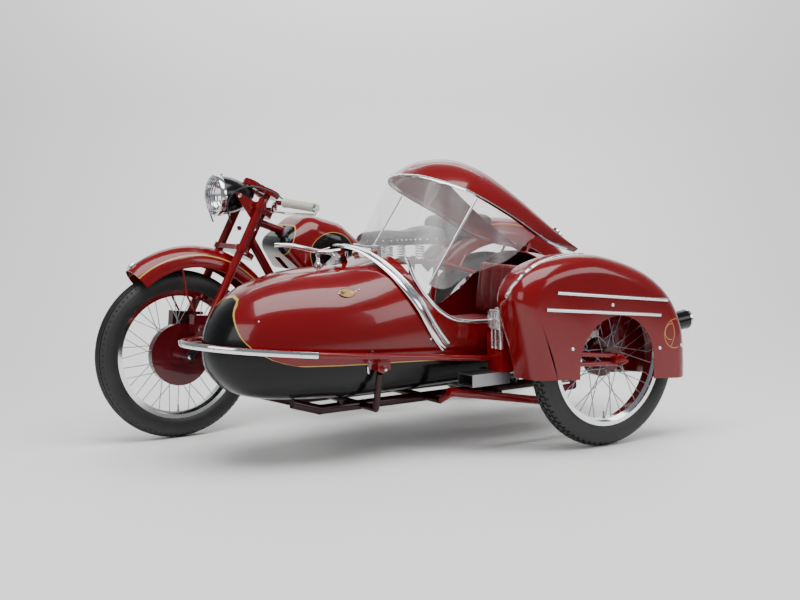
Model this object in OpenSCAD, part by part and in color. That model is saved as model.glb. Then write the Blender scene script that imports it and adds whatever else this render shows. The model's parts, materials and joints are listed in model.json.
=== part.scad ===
// Motorcycle with a covered sidecar on its left-hand side.
// +X is forward, +Y is to the left (towards the sidecar), +Z is up, in millimetres.
// All places are first laid out from the point where the front tyre meets the ground, and
// the whole machine is then shifted so that the origin lies under the middle of its box.

/* [Wheels] */
// Outer radius of the three tyres
tyre_r = 331.5; // [300:0.5:345]
// Width of the three tyres
tyre_w = 92; // [80:1:110]
// Distance between the front and rear axles
wheelbase = 1502; // [1480:1:1560]
// Track from the motorcycle's centre line to the sidecar wheel
track = 1122; // [1110:1:1180]
// Distance of the sidecar axle ahead of the rear axle
sidecar_lead = 267; // [230:1:300]
// Radius of the rim flange
rim_r = 255; // [245:1:262]
// Width of the rim over its flanges
rim_w = 66; // [60:1:74]
// Radius of a spoke
spoke_r = 1.7; // [1.2:0.1:2.2]
// Number of spokes in each wheel
spoke_count = 36; // [28:4:40]
// Radius of the wheel axles
axle_r = 8; // [6:0.5:10]
// Radius of the brake drums
drum_r = 120; // [80:1:125]

/* [Steering] */
// Rake of the steering axis from the vertical
rake = 28; // [26:0.5:30]
// Distance ahead of the front contact point where the steering axis meets the ground
trail = 82; // [70:1:95]
// Distance of the fork legs ahead of the steering axis
leg_offset = 55; // [50:1:60]
// Half of the distance between the fork legs
leg_y = 100; // [96:1:108]
// Radius of a fork leg
leg_r = 17; // [14:0.5:18]
// Radius of the steering stem
stem_r = 13; // [11:0.5:15]
// Radius of the handlebar tube
bar_r = 12.5; // [10:0.5:14]
// Radius of the headlamp rim
lamp_r = 80; // [65:1:86]
// Radius of the front mudguard over its crown
guard_r = 403; // [398:1:410]
// Half width of the front mudguard
guard_w = 70; // [60:1:74]
// Thickness of the pressed sheet in the mudguards
sheet = 3; // [2:0.5:4]

/* [Motorcycle] */
// Radius of the main frame tubes
frame_r = 16; // [13:0.5:18]
// Length of the fuel tank
tank_len = 385; // [370:1:400]
// Width of the fuel tank
tank_w = 290; // [250:1:310]
// Width of the rider's saddle
saddle_w = 250; // [220:1:270]
// Height of the rider's saddle above the ground
saddle_h = 786; // [780:1:800]
// Width of the pillion pad
pillion_w = 220; // [180:1:240]
// Radius of the rear mudguard over its crown
rear_guard_r = 527; // [520:1:535]
// Half width of the rear mudguard
rear_guard_w = 82; // [76:1:90]
// Distance of the cylinder ahead of the rear axle
cylinder_lead = 700; // [690:1:720]
// Outer radius of the silencer
silencer_r = 38; // [30:1:45]

/* [Sidecar] */
// Distance of the sidecar body's middle from the motorcycle's centre line
body_y = 620; // [610:1:640]
// Width of the sidecar body
body_w = 570; // [520:2:580]
// Height of the body's underside above the ground
body_bottom = 214; // [205:1:240]
// Height of the cowl in front of the windshield
cowl_h = 735; // [725:1:745]
// Thickness of the body's skin
skin = 5; // [4:0.5:8]
// Width of the canopy
canopy_w = 500; // [460:2:520]
// Height of the roof's crest above the ground
roof_h = 1078; // [1060:1:1100]
// Thickness of the windshield and side windows
glass = 3; // [2:0.5:5]
// Opening of the canopy about its front hinge
canopy_open = 55; // [40:1:60]
// Radius of the chassis tubes
chassis_r = 18; // [15:0.5:21]
// Radius of the bumper rail
rail_r = 11; // [9:0.5:14]
// Slope of the bumper rail and of the fender's lower edge
rail_slope = 6; // [4:0.5:8]
// Distance of the fender's outer face from the motorcycle's centre line
fender_y = 1215; // [1205:1:1290]
// Width of the fender
fender_w = 190; // [180:1:230]
// Radius of the wheel arch cut in the fender's outer face
arch_r = 180; // [165:1:190]

/* [Hidden] */

fit = 0.05;
seat_gap = 0.3;
rear_x = -wheelbase;
car_x = rear_x + sidecar_lead;
car_y = track;
tail_x = rear_x - 500;
right_y = -405;
origin_x = (tyre_r + tail_x) / 2;
origin_y = (track + 132 + right_y) / 2;
bead_r = rim_r - 13;
well_r = bead_r - 10;
flange_t = 3;
paint_red = [0.55, 0.03, 0.03];
paint_maroon = [0.35, 0.02, 0.03];
paint_black = [0.05, 0.05, 0.05];
chrome = [0.85, 0.86, 0.88];
steel = [0.62, 0.62, 0.64];
clear = [0.8, 0.87, 0.9, 0.4];

// ---------------------------------------------------------------- helpers

// Puts a piece laid out from the front contact point into the machine's own frame.
module placed() {
    translate([-origin_x, -origin_y, 0]) children();
}

// The frame of the steering head: local z runs up the steering axis, local x is ahead of it.
module on_steering() {
    translate([trail, 0, 0]) rotate([0, -rake, 0]) children();
}

// The steering head's point at local (a, y, h), in the machine's layout.
function steered(a, y, h) =
    [trail + a * cos(rake) - h * sin(rake), y, a * sin(rake) + h * cos(rake)];

// A round bar between two points.
module rod(a, b, r) {
    v = b - a;
    translate(a) rotate([0, acos(v.z / norm(v)), atan2(v.y, v.x)])
        cylinder(h = norm(v), r = r, $fn = 32);
}

// A bent tube through several points, with a ball a little wider than the tube at each bend.
module tube(points, r) {
    for (i = [0 : len(points) - 2]) rod(points[i], points[i + 1], r);
    for (i = [1 : len(points) - 2]) ball(points[i - 1], points[i], points[i + 1], r * 1.04);
}

// A ball at the middle point of three, turned so that both its poles lie inside the two rods.
module ball(a, b, c, r) {
    v = (b - a) / norm(b - a) + (c - b) / norm(c - b);
    translate(b) rotate([0, acos(v.z / norm(v)), atan2(v.y, v.x)]) sphere(r = r, $fn = 32);
}

// A smooth round tube that follows a list of points; keep gives a direction it never follows.
module sweep(points, r, keep, sides) {
    n = len(points);
    loft([for (i = [0 : n - 1])
        let (t = points[min(i + 1, n - 1)] - points[max(i - 1, 0)],
             a = cross(t, keep) / norm(cross(t, keep)), b = cross(a, t) / norm(t))
        [for (j = [0 : sides - 1]) points[i]
            + r * (cos(j * 360 / sides) * a + sin(j * 360 / sides) * b)]]);
}

// A copy on the left-hand side and one on the right-hand side.
module both_sides() {
    children();
    mirror([0, 1, 0]) children();
}

// A point on the Catmull-Rom curve through a list, with u counted from 0 to 1.
function spline(p, u) =
    let (n = len(p) - 1, s = min(u * n, n - 0.000001), i = floor(s), t = s - i,
         a = p[max(i - 1, 0)], b = p[i], c = p[i + 1], d = p[min(i + 2, n)])
    0.5 * (2 * b + (c - a) * t + (2 * a - 5 * b + 4 * c - d) * t * t
           + (3 * b - a - 3 * c + d) * t * t * t);

// A smooth list of points through a short one.
function smooth(p, steps) = [for (i = [0 : steps]) spline(p, i / steps)];

// A closed skin from a grid of rings: each ring is a closed loop, and both ends are capped.
module loft(rings) {
    m = len(rings);
    n = len(rings[0]);
    points = [for (r = rings) for (p = r) p];
    faces = concat(
        [for (i = [0 : m - 2]) for (j = [0 : n - 1])
            [i * n + j, i * n + (j + 1) % n, (i + 1) * n + (j + 1) % n]],
        [for (i = [0 : m - 2]) for (j = [0 : n - 1])
            [i * n + j, (i + 1) * n + (j + 1) % n, (i + 1) * n + j]],
        [[for (j = [0 : n - 1]) n - 1 - j]],
        [[for (j = [0 : n - 1]) (m - 1) * n + j]]);
    polyhedron(points, faces, convexity = 6);
}

// A sheet of the given thickness between two curves, bulged outwards in its middle.
module sheet_between(upper, lower, middle, bulge, thick, steps) {
    n = len(upper);
    m = steps + 1;
    flat = [for (i = [0 : n - 1]) for (j = [0 : steps])
        upper[i] + (lower[i] - upper[i]) * j / steps];
    out = [for (i = [0 : n - 1]) for (j = [0 : steps])
        let (p = flat[i * m + j], v = p - middle)
        p + v / norm(v) * bulge * sin(180 * j / steps)];
    inner = [for (p = out) let (v = p - middle) p - v / norm(v) * thick];
    k = n * m;
    faces = concat(
        [for (i = [0 : n - 2]) for (j = [0 : steps - 1])
            [i * m + j, (i + 1) * m + j, (i + 1) * m + j + 1]],
        [for (i = [0 : n - 2]) for (j = [0 : steps - 1])
            [i * m + j, (i + 1) * m + j + 1, i * m + j + 1]],
        [for (i = [0 : n - 2]) for (j = [0 : steps - 1])
            [k + i * m + j, k + (i + 1) * m + j + 1, k + (i + 1) * m + j]],
        [for (i = [0 : n - 2]) for (j = [0 : steps - 1])
            [k + i * m + j, k + i * m + j + 1, k + (i + 1) * m + j + 1]],
        [for (j = [0 : steps - 1]) [j, j + 1, k + j + 1]],
        [for (j = [0 : steps - 1]) [j, k + j + 1, k + j]],
        [for (j = [0 : steps - 1])
            [(n - 1) * m + j, k + (n - 1) * m + j + 1, (n - 1) * m + j + 1]],
        [for (j = [0 : steps - 1])
            [(n - 1) * m + j, k + (n - 1) * m + j, k + (n - 1) * m + j + 1]],
        [for (i = [0 : n - 2]) [i * m, k + (i + 1) * m, (i + 1) * m]],
        [for (i = [0 : n - 2]) [i * m, k + i * m, k + (i + 1) * m]],
        [for (i = [0 : n - 2])
            [i * m + steps, (i + 1) * m + steps, k + (i + 1) * m + steps]],
        [for (i = [0 : n - 2])
            [i * m + steps, k + (i + 1) * m + steps, k + i * m + steps]]);
    polyhedron(concat(out, inner), faces, convexity = 6);
}

// ---------------------------------------------------------------- wheels

// Turns a wheel's flat section about an axle at (x, y), at axle height.
module wheel_at(x, y) {
    placed() translate([x, y, tyre_r]) rotate([90, 0, 0]) children();
}

module tyre_shape() {
    rotate_extrude($fn = 128) difference() {
        union() {
            translate([tyre_r - tyre_w / 2, 0]) circle(r = tyre_w / 2, $fn = 64);
            translate([bead_r, -rim_w / 2 + flange_t])
                square([rim_r - bead_r + 20, rim_w - 2 * flange_t]);
        }
        square([bead_r, tyre_w * 2], center = true);
        translate([0, -tyre_w]) square([bead_r, 2 * tyre_w]);
        for (s = [0, 1]) mirror([0, s])
            translate([0, rim_w / 2 - flange_t]) square([rim_r, tyre_w]);
    }
}

module rim_shape() {
    well_w = rim_w * 0.4;
    rotate_extrude($fn = 128) union() {
        translate([well_r - flange_t, -well_w / 2]) square([flange_t, well_w]);
        for (s = [0, 1]) mirror([0, s]) {
            translate([well_r - flange_t, well_w / 2 - flange_t])
                square([bead_r - well_r + flange_t, flange_t]);
            translate([bead_r - flange_t, well_w / 2 - flange_t])
                square([flange_t, rim_w / 2 - well_w / 2 + flange_t]);
            translate([bead_r - flange_t, rim_w / 2 - flange_t])
                square([rim_r - bead_r + flange_t, flange_t]);
        }
    }
}

// Crossed spokes from a hub flange at each side to the rim's well.
module spokes_shape(left_r, left_y, right_r, right_y, left_lead, right_lead) {
    for (i = [0 : spoke_count - 1]) {
        left = i % 2 == 0;
        way = floor(i / 2) % 2 == 0 ? 1 : -1;
        a = i * 360 / spoke_count;
        hub_r = left ? left_r : right_r;
        hub_a = a + way * (left ? left_lead : right_lead);
        hub_z = (left ? left_y : right_y) + way * 5;
        rod([hub_r * cos(hub_a), hub_r * sin(hub_a), hub_z],
            [(well_r - 1) * cos(a), (well_r - 1) * sin(a), left ? 6 : -6], spoke_r);
    }
}

// A hub with a brake drum on one side: a barrel, two spoke flanges and the drum's wall.
module hub_shape(drum, drum_from, drum_to, small_r, half) {
    difference() {
        union() {
            translate([0, 0, -half]) cylinder(h = 2 * half, r = 27, $fn = 64);
            translate([0, 0, drum_from]) cylinder(h = drum_to - drum_from, r = drum, $fn = 96);
            translate([0, 0, -half + 2]) cylinder(h = 14, r = small_r, $fn = 64);
        }
        translate([0, 0, -half - 1]) cylinder(h = 2 * half + 2, r = axle_r + fit, $fn = 64);
        translate([0, 0, drum_from + 8]) difference() {
            cylinder(h = drum_to, r = drum - 8, $fn = 96);
            translate([0, 0, -1]) cylinder(h = drum_to + 2, r = 27, $fn = 64);
        }
    }
}

// The left-hand side of a wheel's section faces the wheel's own -z once it is turned,
// so each drum is drawn towards -z.
drum_in = 4;
drum_out = 40;
hub_half = 44;

module front_tyre() color(paint_black) wheel_at(0, 0) tyre_shape();
module front_rim() color(chrome) wheel_at(0, 0) rim_shape();
module front_spokes() color(steel) wheel_at(0, 0) mirror([0, 0, 1])
    spokes_shape(drum_r - 2, 26, 38, -35, 13, 55);
module front_hub() color(paint_maroon) wheel_at(0, 0) mirror([0, 0, 1])
    hub_shape(drum_r, drum_in, drum_out, 46, hub_half);

module rear_tyre() color(paint_black) wheel_at(rear_x, 0) tyre_shape();
module rear_rim() color(chrome) wheel_at(rear_x, 0) rim_shape();
module rear_spokes() color(steel) wheel_at(rear_x, 0) mirror([0, 0, 1])
    spokes_shape(drum_r - 2, 26, 38, -35, 13, 55);
module rear_hub() color(paint_maroon) wheel_at(rear_x, 0) mirror([0, 0, 1])
    hub_shape(drum_r, drum_in, drum_out, 46, hub_half);

module sidecar_tyre() color(paint_black) wheel_at(car_x, car_y) tyre_shape();
module sidecar_rim() color(chrome) wheel_at(car_x, car_y) rim_shape();
module sidecar_spokes() color(steel) wheel_at(car_x, car_y)
    spokes_shape(70, 26, 38, -35, 30, 55);
module sidecar_hub() color(paint_maroon) wheel_at(car_x, car_y)
    hub_shape(72, drum_in, drum_out, 46, hub_half);

// ---------------------------------------------------------------- steering

head_low = 818;
head_high = 980;
yoke_t = 22;
leg_top = 1025;
leg_low = 478;
link_y = 130;
box_len = 130;
box_w = 46;
box_h = 70;
box_x = -88;
box_z = 451;
lamp_x = -190;
lamp_z = 948;
lamp_back = 146;
lamp_bulge = 129;

module leg_shape(extra) {
    on_steering() translate([leg_offset, leg_y, leg_low])
        cylinder(h = leg_top - leg_low, r = leg_r + extra, $fn = 48);
}

// A fork yoke: a plate with rounded lobes round both legs and the stem.
module yoke_shape(h) {
    on_steering() translate([0, 0, h]) linear_extrude(yoke_t) difference() {
        union() {
            translate([leg_offset, 0]) square([2 * leg_r, 2 * leg_y], center = true);
            for (s = [-1, 1]) translate([leg_offset, s * leg_y]) circle(r = leg_r + 8, $fn = 48);
            circle(r = 50, $fn = 48);
            translate([0, -30]) square([leg_offset, 60]);
        }
        for (s = [-1, 1]) translate([leg_offset, s * leg_y]) circle(r = leg_r - 4, $fn = 48);
    }
}

module friction_knob(a, h, r) {
    on_steering() translate([a, 0, h]) linear_extrude(26) difference() {
        circle(r = r, $fn = 64);
        for (i = [0 : 11]) rotate(i * 30) translate([r + 2, 0]) circle(r = 5, $fn = 24);
    }
}

// The triangular arm that carries the headlamp from one fork leg.
module lamp_arm() {
    difference() {
        hull() {
            translate([lamp_x - 60, lamp_r + 4, lamp_z]) rotate([-90, 0, 0])
                cylinder(h = 6, r = 12, $fn = 32);
            on_steering() translate([leg_offset, lamp_r + 4, 930]) cube([2, 6, 70]);
        }
        translate([lamp_x - 60, lamp_r, lamp_z]) rotate([-90, 0, 0])
            cylinder(h = 20, r = 4, $fn = 32);
    }
}

module fork() color(paint_red) placed() {
    both_sides() {
        leg_shape(0);
        lamp_arm();
    }
    yoke_shape(head_low - yoke_t - 0.5);
    on_steering() translate([0, 0, head_low - yoke_t])
        cylinder(h = 1066 - head_low + yoke_t, r = stem_r, $fn = 64);
    difference() {
        union() {
            yoke_shape(head_high + 0.5);
            on_steering() {
                translate([0, -14, 1046]) cube([92, 28, 14]);
                translate([84, 0, 1050]) cylinder(h = 16, r = 10, $fn = 32);
            }
        }
        headlamp_form(1);
    }
    friction_knob(0, 1064, 46);
    friction_knob(84, 1064, 34);
}

// Rubber-spring boxes at the feet of the fork legs.
module spring_boxes() color(paint_maroon) placed() both_sides() difference() {
    translate([box_x, leg_y + 4, box_z]) rotate([0, -rail_slope, 0])
        cube([box_len, box_w, box_h], center = true);
    leg_shape(fit);
}

// Leading links from the spring boxes to the front axle.
module fork_links() color(chrome) placed() {
    both_sides() {
        rod([-52, leg_y + 4 + box_w / 2, 438], [-52, link_y + 12, 438], 14);
        hull() {
            translate([-52, link_y, 438]) rotate([-90, 0, 0]) cylinder(h = 10, r = 15, $fn = 32);
            translate([0, link_y, tyre_r]) rotate([-90, 0, 0]) cylinder(h = 10, r = 17, $fn = 32);
        }
        translate([0, hub_half + 14, tyre_r]) rotate([-90, 0, 0])
            cylinder(h = link_y - hub_half - 14, r = 13, $fn = 32);
    }
    rod([0, -link_y - 20, tyre_r], [0, link_y + 20, tyre_r], axle_r);
}

// The headlamp's outer form, drawn out or in by some distance.
module headlamp_form(extra) {
    translate([lamp_x, 0, lamp_z]) rotate([0, -90, 0]) rotate_extrude($fn = 96) union() {
        translate([0, -6]) square([lamp_r + extra, 22]);
        intersection() {
            translate([0, 15]) square([lamp_r, lamp_back + extra]);
            translate([-lamp_bulge, 16]) circle(r = lamp_bulge + lamp_r - 3 + extra, $fn = 200);
        }
    }
}

module headlamp() color(paint_black) placed() difference() {
    headlamp_form(0);
    headlamp_form_inner();
}

module headlamp_form_inner() {
    translate([lamp_x, 0, lamp_z]) rotate([0, -90, 0]) rotate_extrude($fn = 96) union() {
        translate([0, -7]) square([lamp_r - 8, 24]);
        intersection() {
            translate([0, 16]) square([lamp_r, lamp_back - 20]);
            translate([-lamp_bulge, 16]) circle(r = lamp_bulge + lamp_r - 8, $fn = 200);
        }
    }
}

module headlamp_lens() color(clear) placed() translate([lamp_x, 0, lamp_z])
    rotate([0, -90, 0]) rotate_extrude($fn = 96) {
        lens_r = lamp_r - 8 - fit;
        depth = 34;
        ball = (lens_r * lens_r + depth * depth) / (2 * depth);
        intersection() {
            translate([0, -depth - 6]) square([lens_r, depth + 6]);
            difference() {
                translate([0, ball - depth - 6]) circle(r = ball, $fn = 200);
                translate([0, ball - depth - 6]) circle(r = ball - 4, $fn = 200);
            }
        }
    }

grip_in = [-368, 250, 918];
grip_out = [-429, 380, 899];

bar_h = head_high + yoke_t + 0.5 + bar_r + 3;

module handlebar() color(chrome) placed() {
    both_sides() {
        tube([steered(-28, 0, bar_h), steered(-28, 55, bar_h), steered(4, 112, bar_h + 4),
              steered(26, 180, bar_h + 8), grip_in, grip_out], bar_r);
        on_steering() translate([-28, 36, head_high + yoke_t + 0.5]) cylinder(h = bar_r + 4, r = 10, $fn = 32);
    }
}

module grips() color([0.72, 0.7, 0.62]) placed() both_sides() {
    v = grip_out - grip_in;
    difference() {
        rod(grip_in + 0.04 * v, grip_in + 0.99 * v, bar_r + 5);
        rod(grip_in - v, grip_out + v, bar_r + fit);
    }
}

module levers() color(chrome) placed() both_sides() {
    v = (grip_out - grip_in) / norm(grip_out - grip_in);
    rod(grip_out, grip_out + 12 * v, bar_r + 3);
    tube([grip_out + 8 * v, grip_out + [4, 4, -26], grip_in + [8, 20, -40], grip_in + [20, -50, -34]], 4.5);
}

// The front mudguard's section is turned about its own centre, above and behind the axle.
guard_x = -58;
guard_z = 353;
guard_tip = 52;
guard_sweep = 124;

module guard_shape(r, half, from, sweep, depth) {
    rotate([90, 0, 0]) rotate([0, 0, from]) rotate_extrude(angle = sweep, $fn = 160)
        intersection() {
            translate([r - depth, -half]) square([depth, 2 * half]);
            difference() {
                union() {
                    translate([r - half, 0]) circle(r = half, $fn = 96);
                    translate([r - depth, -half]) square([depth - half, 2 * half]);
                }
                translate([r - half, 0]) circle(r = half - sheet, $fn = 96);
                translate([r - depth - 1, -half + sheet])
                    square([depth - half + 1, 2 * (half - sheet)]);
            }
        }
}

module front_mudguard() color(paint_red) placed()
    translate([guard_x, 0, guard_z]) guard_shape(guard_r, guard_w, guard_tip, guard_sweep, 84);

module mudguard_stays() color(paint_maroon) placed() {
    both_sides() {
        tube([[-5, guard_w + 4.3, 676], [-20, guard_w + 12, 560], [-52, guard_w + 14, 492.4]], 4);
    }
}

module front_brake_plate() color(paint_maroon) placed() {
    translate([0, drum_out + 1, tyre_r]) rotate([-90, 0, 0]) difference() {
        union() {
            cylinder(h = 5, r = drum_r + 2, $fn = 96);
            cylinder(h = 17, r = 44, $fn = 64);
        }
        translate([0, 0, -1]) cylinder(h = 30, r = axle_r + fit, $fn = 64);
        translate([0, 0, -1]) cylinder(h = hub_half - drum_out + 1, r = 30, $fn = 64);
    }
}

// ---------------------------------------------------------------- canopy

half_c = canopy_w / 2;
hinge_x = -512;
hinge_z = cowl_h + 22;

// A point of the canopy: distance aft of the front contact, share of the half width, height.
function canopy_point(x, share, z, side) = [x, body_y + side * share * half_c, z];

// The roof's lower edge, from its middle at the front to its rear end.
function roof_edge(side) = smooth([for (p = [
    [-655, 0, roof_h - 61], [-682, 0.42, roof_h - 67], [-745, 0.82, roof_h - 96],
    [-835, 1, roof_h - 138], [-1000, 1, roof_h - 223], [-1180, 0.96, roof_h - 324],
    [-1352, 0.78, roof_h - 372]]) canopy_point(p[0], p[1], p[2], side)], 36);

// The roof's inner edge, over the crest and back down the side band.
function roof_crest(side) = smooth([for (p = [
    [-830, 0, roof_h], [-848, 0.2, roof_h - 2], [-885, 0.4, roof_h - 16],
    [-950, 0.6, roof_h - 56], [-1062, 0.74, roof_h - 140], [-1205, 0.8, roof_h - 250],
    [-1362, 0.76, roof_h - 362]]) canopy_point(p[0], p[1], p[2], side)], 36);

// The line where the windshield meets the cowl.
function shield_base(side) = smooth([for (p = [
    [-524, 0, cowl_h + 12], [-534, 0.4, cowl_h + 1], [-566, 0.76, cowl_h - 42],
    [-618, 1, cowl_h - 118]]) canopy_point(p[0], p[1], p[2], side)], 18);

// The lower and rear edge of a side window.
function window_base(side) = smooth([for (p = [
    [-624, 1, cowl_h - 112], [-700, 1, cowl_h - 132], [-790, 1, cowl_h - 92],
    [-890, 1, cowl_h - 66], [-1000, 1, cowl_h - 34], [-1080, 1, cowl_h + 22],
    [-1112, 1, cowl_h + 40]]) canopy_point(p[0], p[1], p[2], side)], 18);

canopy_middle = [-900, body_y, 500];

module roof() color(paint_red) placed() for (side = [-1, 1])
    mirror_if(side < 0)
        sheet_between(roof_edge(1), roof_crest(1), canopy_middle, 16, sheet, 8);

// Mirrors its pieces across the sidecar's middle when asked to.
module mirror_if(yes) {
    if (yes) translate([0, 2 * body_y, 0]) mirror([0, 1, 0]) children();
    else children();
}

module windshield() color(clear) placed() for (side = [-1, 1]) mirror_if(side < 0)
    sheet_between(
        [for (p = shield_base(1)) p + [0, 0, 6]],
        [for (i = [0 : 18]) roof_edge(1)[i] - [0, 0, 1.8]],
        canopy_middle, 5, glass, 8);

module side_windows() color(clear) placed() for (side = [-1, 1]) mirror_if(side < 0)
    sheet_between(
        [for (i = [0 : 14]) spline(window_base(1), i / 14) - [0, 6, 0]],
        [for (i = [0 : 14]) spline(roof_edge(1), 0.515 + 0.26 * i / 14) - [0, 6, 2.6]],
        canopy_middle, 3, glass, 6);

// The pillars beside the windshield and the hinge pin under its foot.
module canopy_trim() color(chrome) placed() {
    pillar_y = half_c + 6.3;
    for (side = [-1, 1]) mirror_if(side < 0)
        rod([-835, body_y + pillar_y, roof_h - 146], [-621, body_y + pillar_y, cowl_h - 108], 5);
    rod([hinge_x, body_y - 88, hinge_z], [hinge_x, body_y + 88, hinge_z], 4);
    translate([hinge_x - 12, body_y - 36, hinge_z - 2]) cube([13, 72, 3]);
}

// ---------------------------------------------------------------- motorcycle

top_tube_a = steered(0, 0, 950);
top_tube_b = [-925, 0, 640];
down_a = steered(0, 0, 882);
cradle_y = 95;

// Rubber pads across the top tube, which the tank's tunnel sits on.
module tank_pads(half, r) {
    for (t = [0.3, 0.68]) translate(top_tube_a + t * (top_tube_b - top_tube_a)) rotate([90, 0, 0])
        cylinder(h = 2 * half, r = r, center = true, $fn = 32);
}

module frame() color(paint_red) placed() {
    difference() {
        union() {
            on_steering() translate([0, 0, head_low]) cylinder(h = head_high - head_low, r = 25, $fn = 64);
            rod(top_tube_a, top_tube_b, frame_r);
            tank_pads(frame_r + 8 - seat_gap, 9);
            tube([down_a, [-505, 0, 470], [-590, 0, 250]], frame_r + 2);
        }
        on_steering() translate([0, 0, head_low - 50])
            cylinder(h = 300, r = stem_r + fit, $fn = 64);
    }
    both_sides() {
        tube([[-590, 0, 250], [-620, cradle_y, 200], [-1020, cradle_y, 200], [-1130, cradle_y, 300],
              [-1185, cradle_y, 640]], 13);
        rod(top_tube_b - [5, 0, 0], [-1185, cradle_y, 640], 11);
        rod(top_tube_b + [3, 0, 0], [-1000, cradle_y, 200], 11);
        rod([-1185, cradle_y, 640], [rear_x + 60, cradle_y + 16, 560], 11);
        rod([-1100, cradle_y, 272], [rear_x + 10, cradle_y + 12, tyre_r], 12);
        rod([rear_x + 60, cradle_y + 16, 560], [rear_x + 4, cradle_y + 12, tyre_r], 10);
        ball([-1185, cradle_y, 640], [rear_x + 60, cradle_y + 16, 560],
            [rear_x + 4, cradle_y + 12, tyre_r], 14);
        ball(top_tube_b - [5, 0, 0], [-1185, cradle_y, 640], [rear_x + 60, cradle_y + 16, 560], 15);
        translate([rear_x, cradle_y - 6, tyre_r]) rotate([-90, 0, 0]) cylinder(h = 28, r = 26, $fn = 48);
        rod([rear_x - 6, cradle_y + 14, tyre_r + 10], [-1702, rear_guard_w + 6.5, 692], 6);
        rod([-1300, cradle_y + 6, 604], [-1340, rear_guard_w + 6.5, 660], 6);
    }
    for (x = [-730, -905]) rod([x, -cradle_y, 213.6], [x, cradle_y, 213.6], 10);
    rod([rear_x, -cradle_y - 34, tyre_r], [rear_x, cradle_y + 34, tyre_r], axle_r);
    rod([-900, -cradle_y - 40, 190], [-900, cradle_y + 30, 190], 8);
}

module crankcase() color([0.6, 0.61, 0.62]) placed() {
    translate([-930, -78, 224]) cube([290, 156, 176]);
    translate([rear_x + cylinder_lead + 20, -100, 300]) rotate([-90, 0, 0]) cylinder(h = 200, r = 86, $fn = 64);
}

module cylinder_block() {
    translate([rear_x + cylinder_lead, 0, 400]) children();
}

// NODES name "cylinder" is the engine's barrel and head.
module engine_barrel() color([0.72, 0.72, 0.72]) placed() cylinder_block() {
    translate([-85, -80, 0]) cube([170, 160, 140]);
    translate([-110, -92, 140]) cube([220, 184, 60]);
    translate([-50, -60, 200]) cube([100, 120, 22]);
}

pipe_line = smooth([[rear_x + cylinder_lead + 112.5, -60, 565], [-662, -61, 566], [-622, -84, 556], [-598, -122, 512],
    [-590, -146, 440], [-610, -158, 300], [-660, -162, 215], [-760, -164, 188], [-900, -164, 188],
    [-1040, -164, 190]], 40);
silencer_a = [-1060, -164, 191];
silencer_b = [-1760, -172, 268];

module exhaust() color(chrome) placed() {
    v = silencer_b - silencer_a;
    sweep(concat(pipe_line, [silencer_a + 0.02 * v]), 20, [0, 1, 0], 16);
    translate(silencer_a) rotate([0, acos(v.z / norm(v)), atan2(v.y, v.x)]) rotate_extrude($fn = 64)
        polygon([[20.2, 0], [silencer_r, 90], [silencer_r, 560], [20, 660], [20, norm(v)], [14, norm(v)],
                 [14, 40], [20.2, 40]]);
    translate([-1120, -164, 196]) cube([30, 30, 12]);
}

tank_front = -428;

module tank() color(paint_red) placed() difference() {
    hull() {
        translate([tank_front - 50, 0, 740]) scale_free(50, 70);
        translate([tank_front - 150, 0, 770]) scale_free(87, tank_w / 2 - 87);
        translate([tank_front - 240, 0, 745]) scale_free(85, tank_w / 2 - 85);
        translate([tank_front - tank_len + 45, 0, 710]) scale_free(45, 70);
        translate([tank_front - 90, 0, 668]) scale_free(32, 110);
        translate([tank_front - tank_len + 60, 0, 672]) scale_free(30, 80);
    }
    rod(top_tube_a + [20, 0, 6], top_tube_b, frame_r + 8);
    tank_pads(frame_r + 8, 9.5);
    translate([top_tube_b.x, -frame_r - 8, 560]) cube([tank_front - top_tube_b.x, 2 * frame_r + 16, 130]);
    on_steering() translate([0, 0, head_low - 40]) cylinder(h = head_high, r = 42, $fn = 48);
}

// A bar of the given radius across the machine, with ball ends.
module scale_free(r, half) {
    for (s = [-1, 1]) translate([0, s * half, 0]) sphere(r = r, $fn = 32);
}

module saddle() color([0.06, 0.06, 0.06]) placed() hull() {
    for (s = [-1, 1]) {
        translate([-1150, s * (saddle_w / 2 - 50), saddle_h - 72]) cylinder(h = 52, r = 50, $fn = 32);
        translate([-1180, s * (saddle_w / 2 - 62), saddle_h - 72]) cylinder(h = 58, r = 48, $fn = 32);
    }
    translate([-900, 0, saddle_h - 72]) cylinder(h = 60, r = 45, $fn = 32);
    translate([-960, 0, saddle_h - 72]) cylinder(h = 72, r = 50, $fn = 32);
}

module saddle_springs() color(steel) placed() both_sides() {
    translate([-1110, cradle_y - 22, 651 + seat_gap]) cylinder(h = saddle_h - 72 - 651 - 2 * seat_gap, r = 22, $fn = 32);
    translate([-985, 26, 651 + seat_gap]) cylinder(h = saddle_h - 72 - 651 - 2 * seat_gap, r = 18, $fn = 32);
}

rear_guard_x = -1555;
rear_guard_z = 288;

module rear_mudguard() color(paint_red) placed() translate([rear_guard_x, 0, rear_guard_z])
    guard_shape(rear_guard_r, rear_guard_w, 44, 108, 110);

module pillion() color([0.06, 0.06, 0.06]) placed() difference() {
    hull() for (s = [-1, 1]) {
        translate([-1264, s * (pillion_w / 2 - 40), 735]) cylinder(h = 45, r = 30, $fn = 32);
        translate([-1310, s * (pillion_w / 2 - 40), 745]) cylinder(h = 66, r = 40, $fn = 32);
        translate([-1430, s * (pillion_w / 2 - 40), 770]) cylinder(h = 73, r = 40, $fn = 32);
        translate([-1465, s * (pillion_w / 2 - 40), 785]) cylinder(h = 40, r = 34, $fn = 32);
    }
    translate([rear_guard_x, 0, rear_guard_z]) rotate([90, 0, 0])
        cylinder(h = 400, r = rear_guard_r + seat_gap, center = true, $fn = 200);
}

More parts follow.
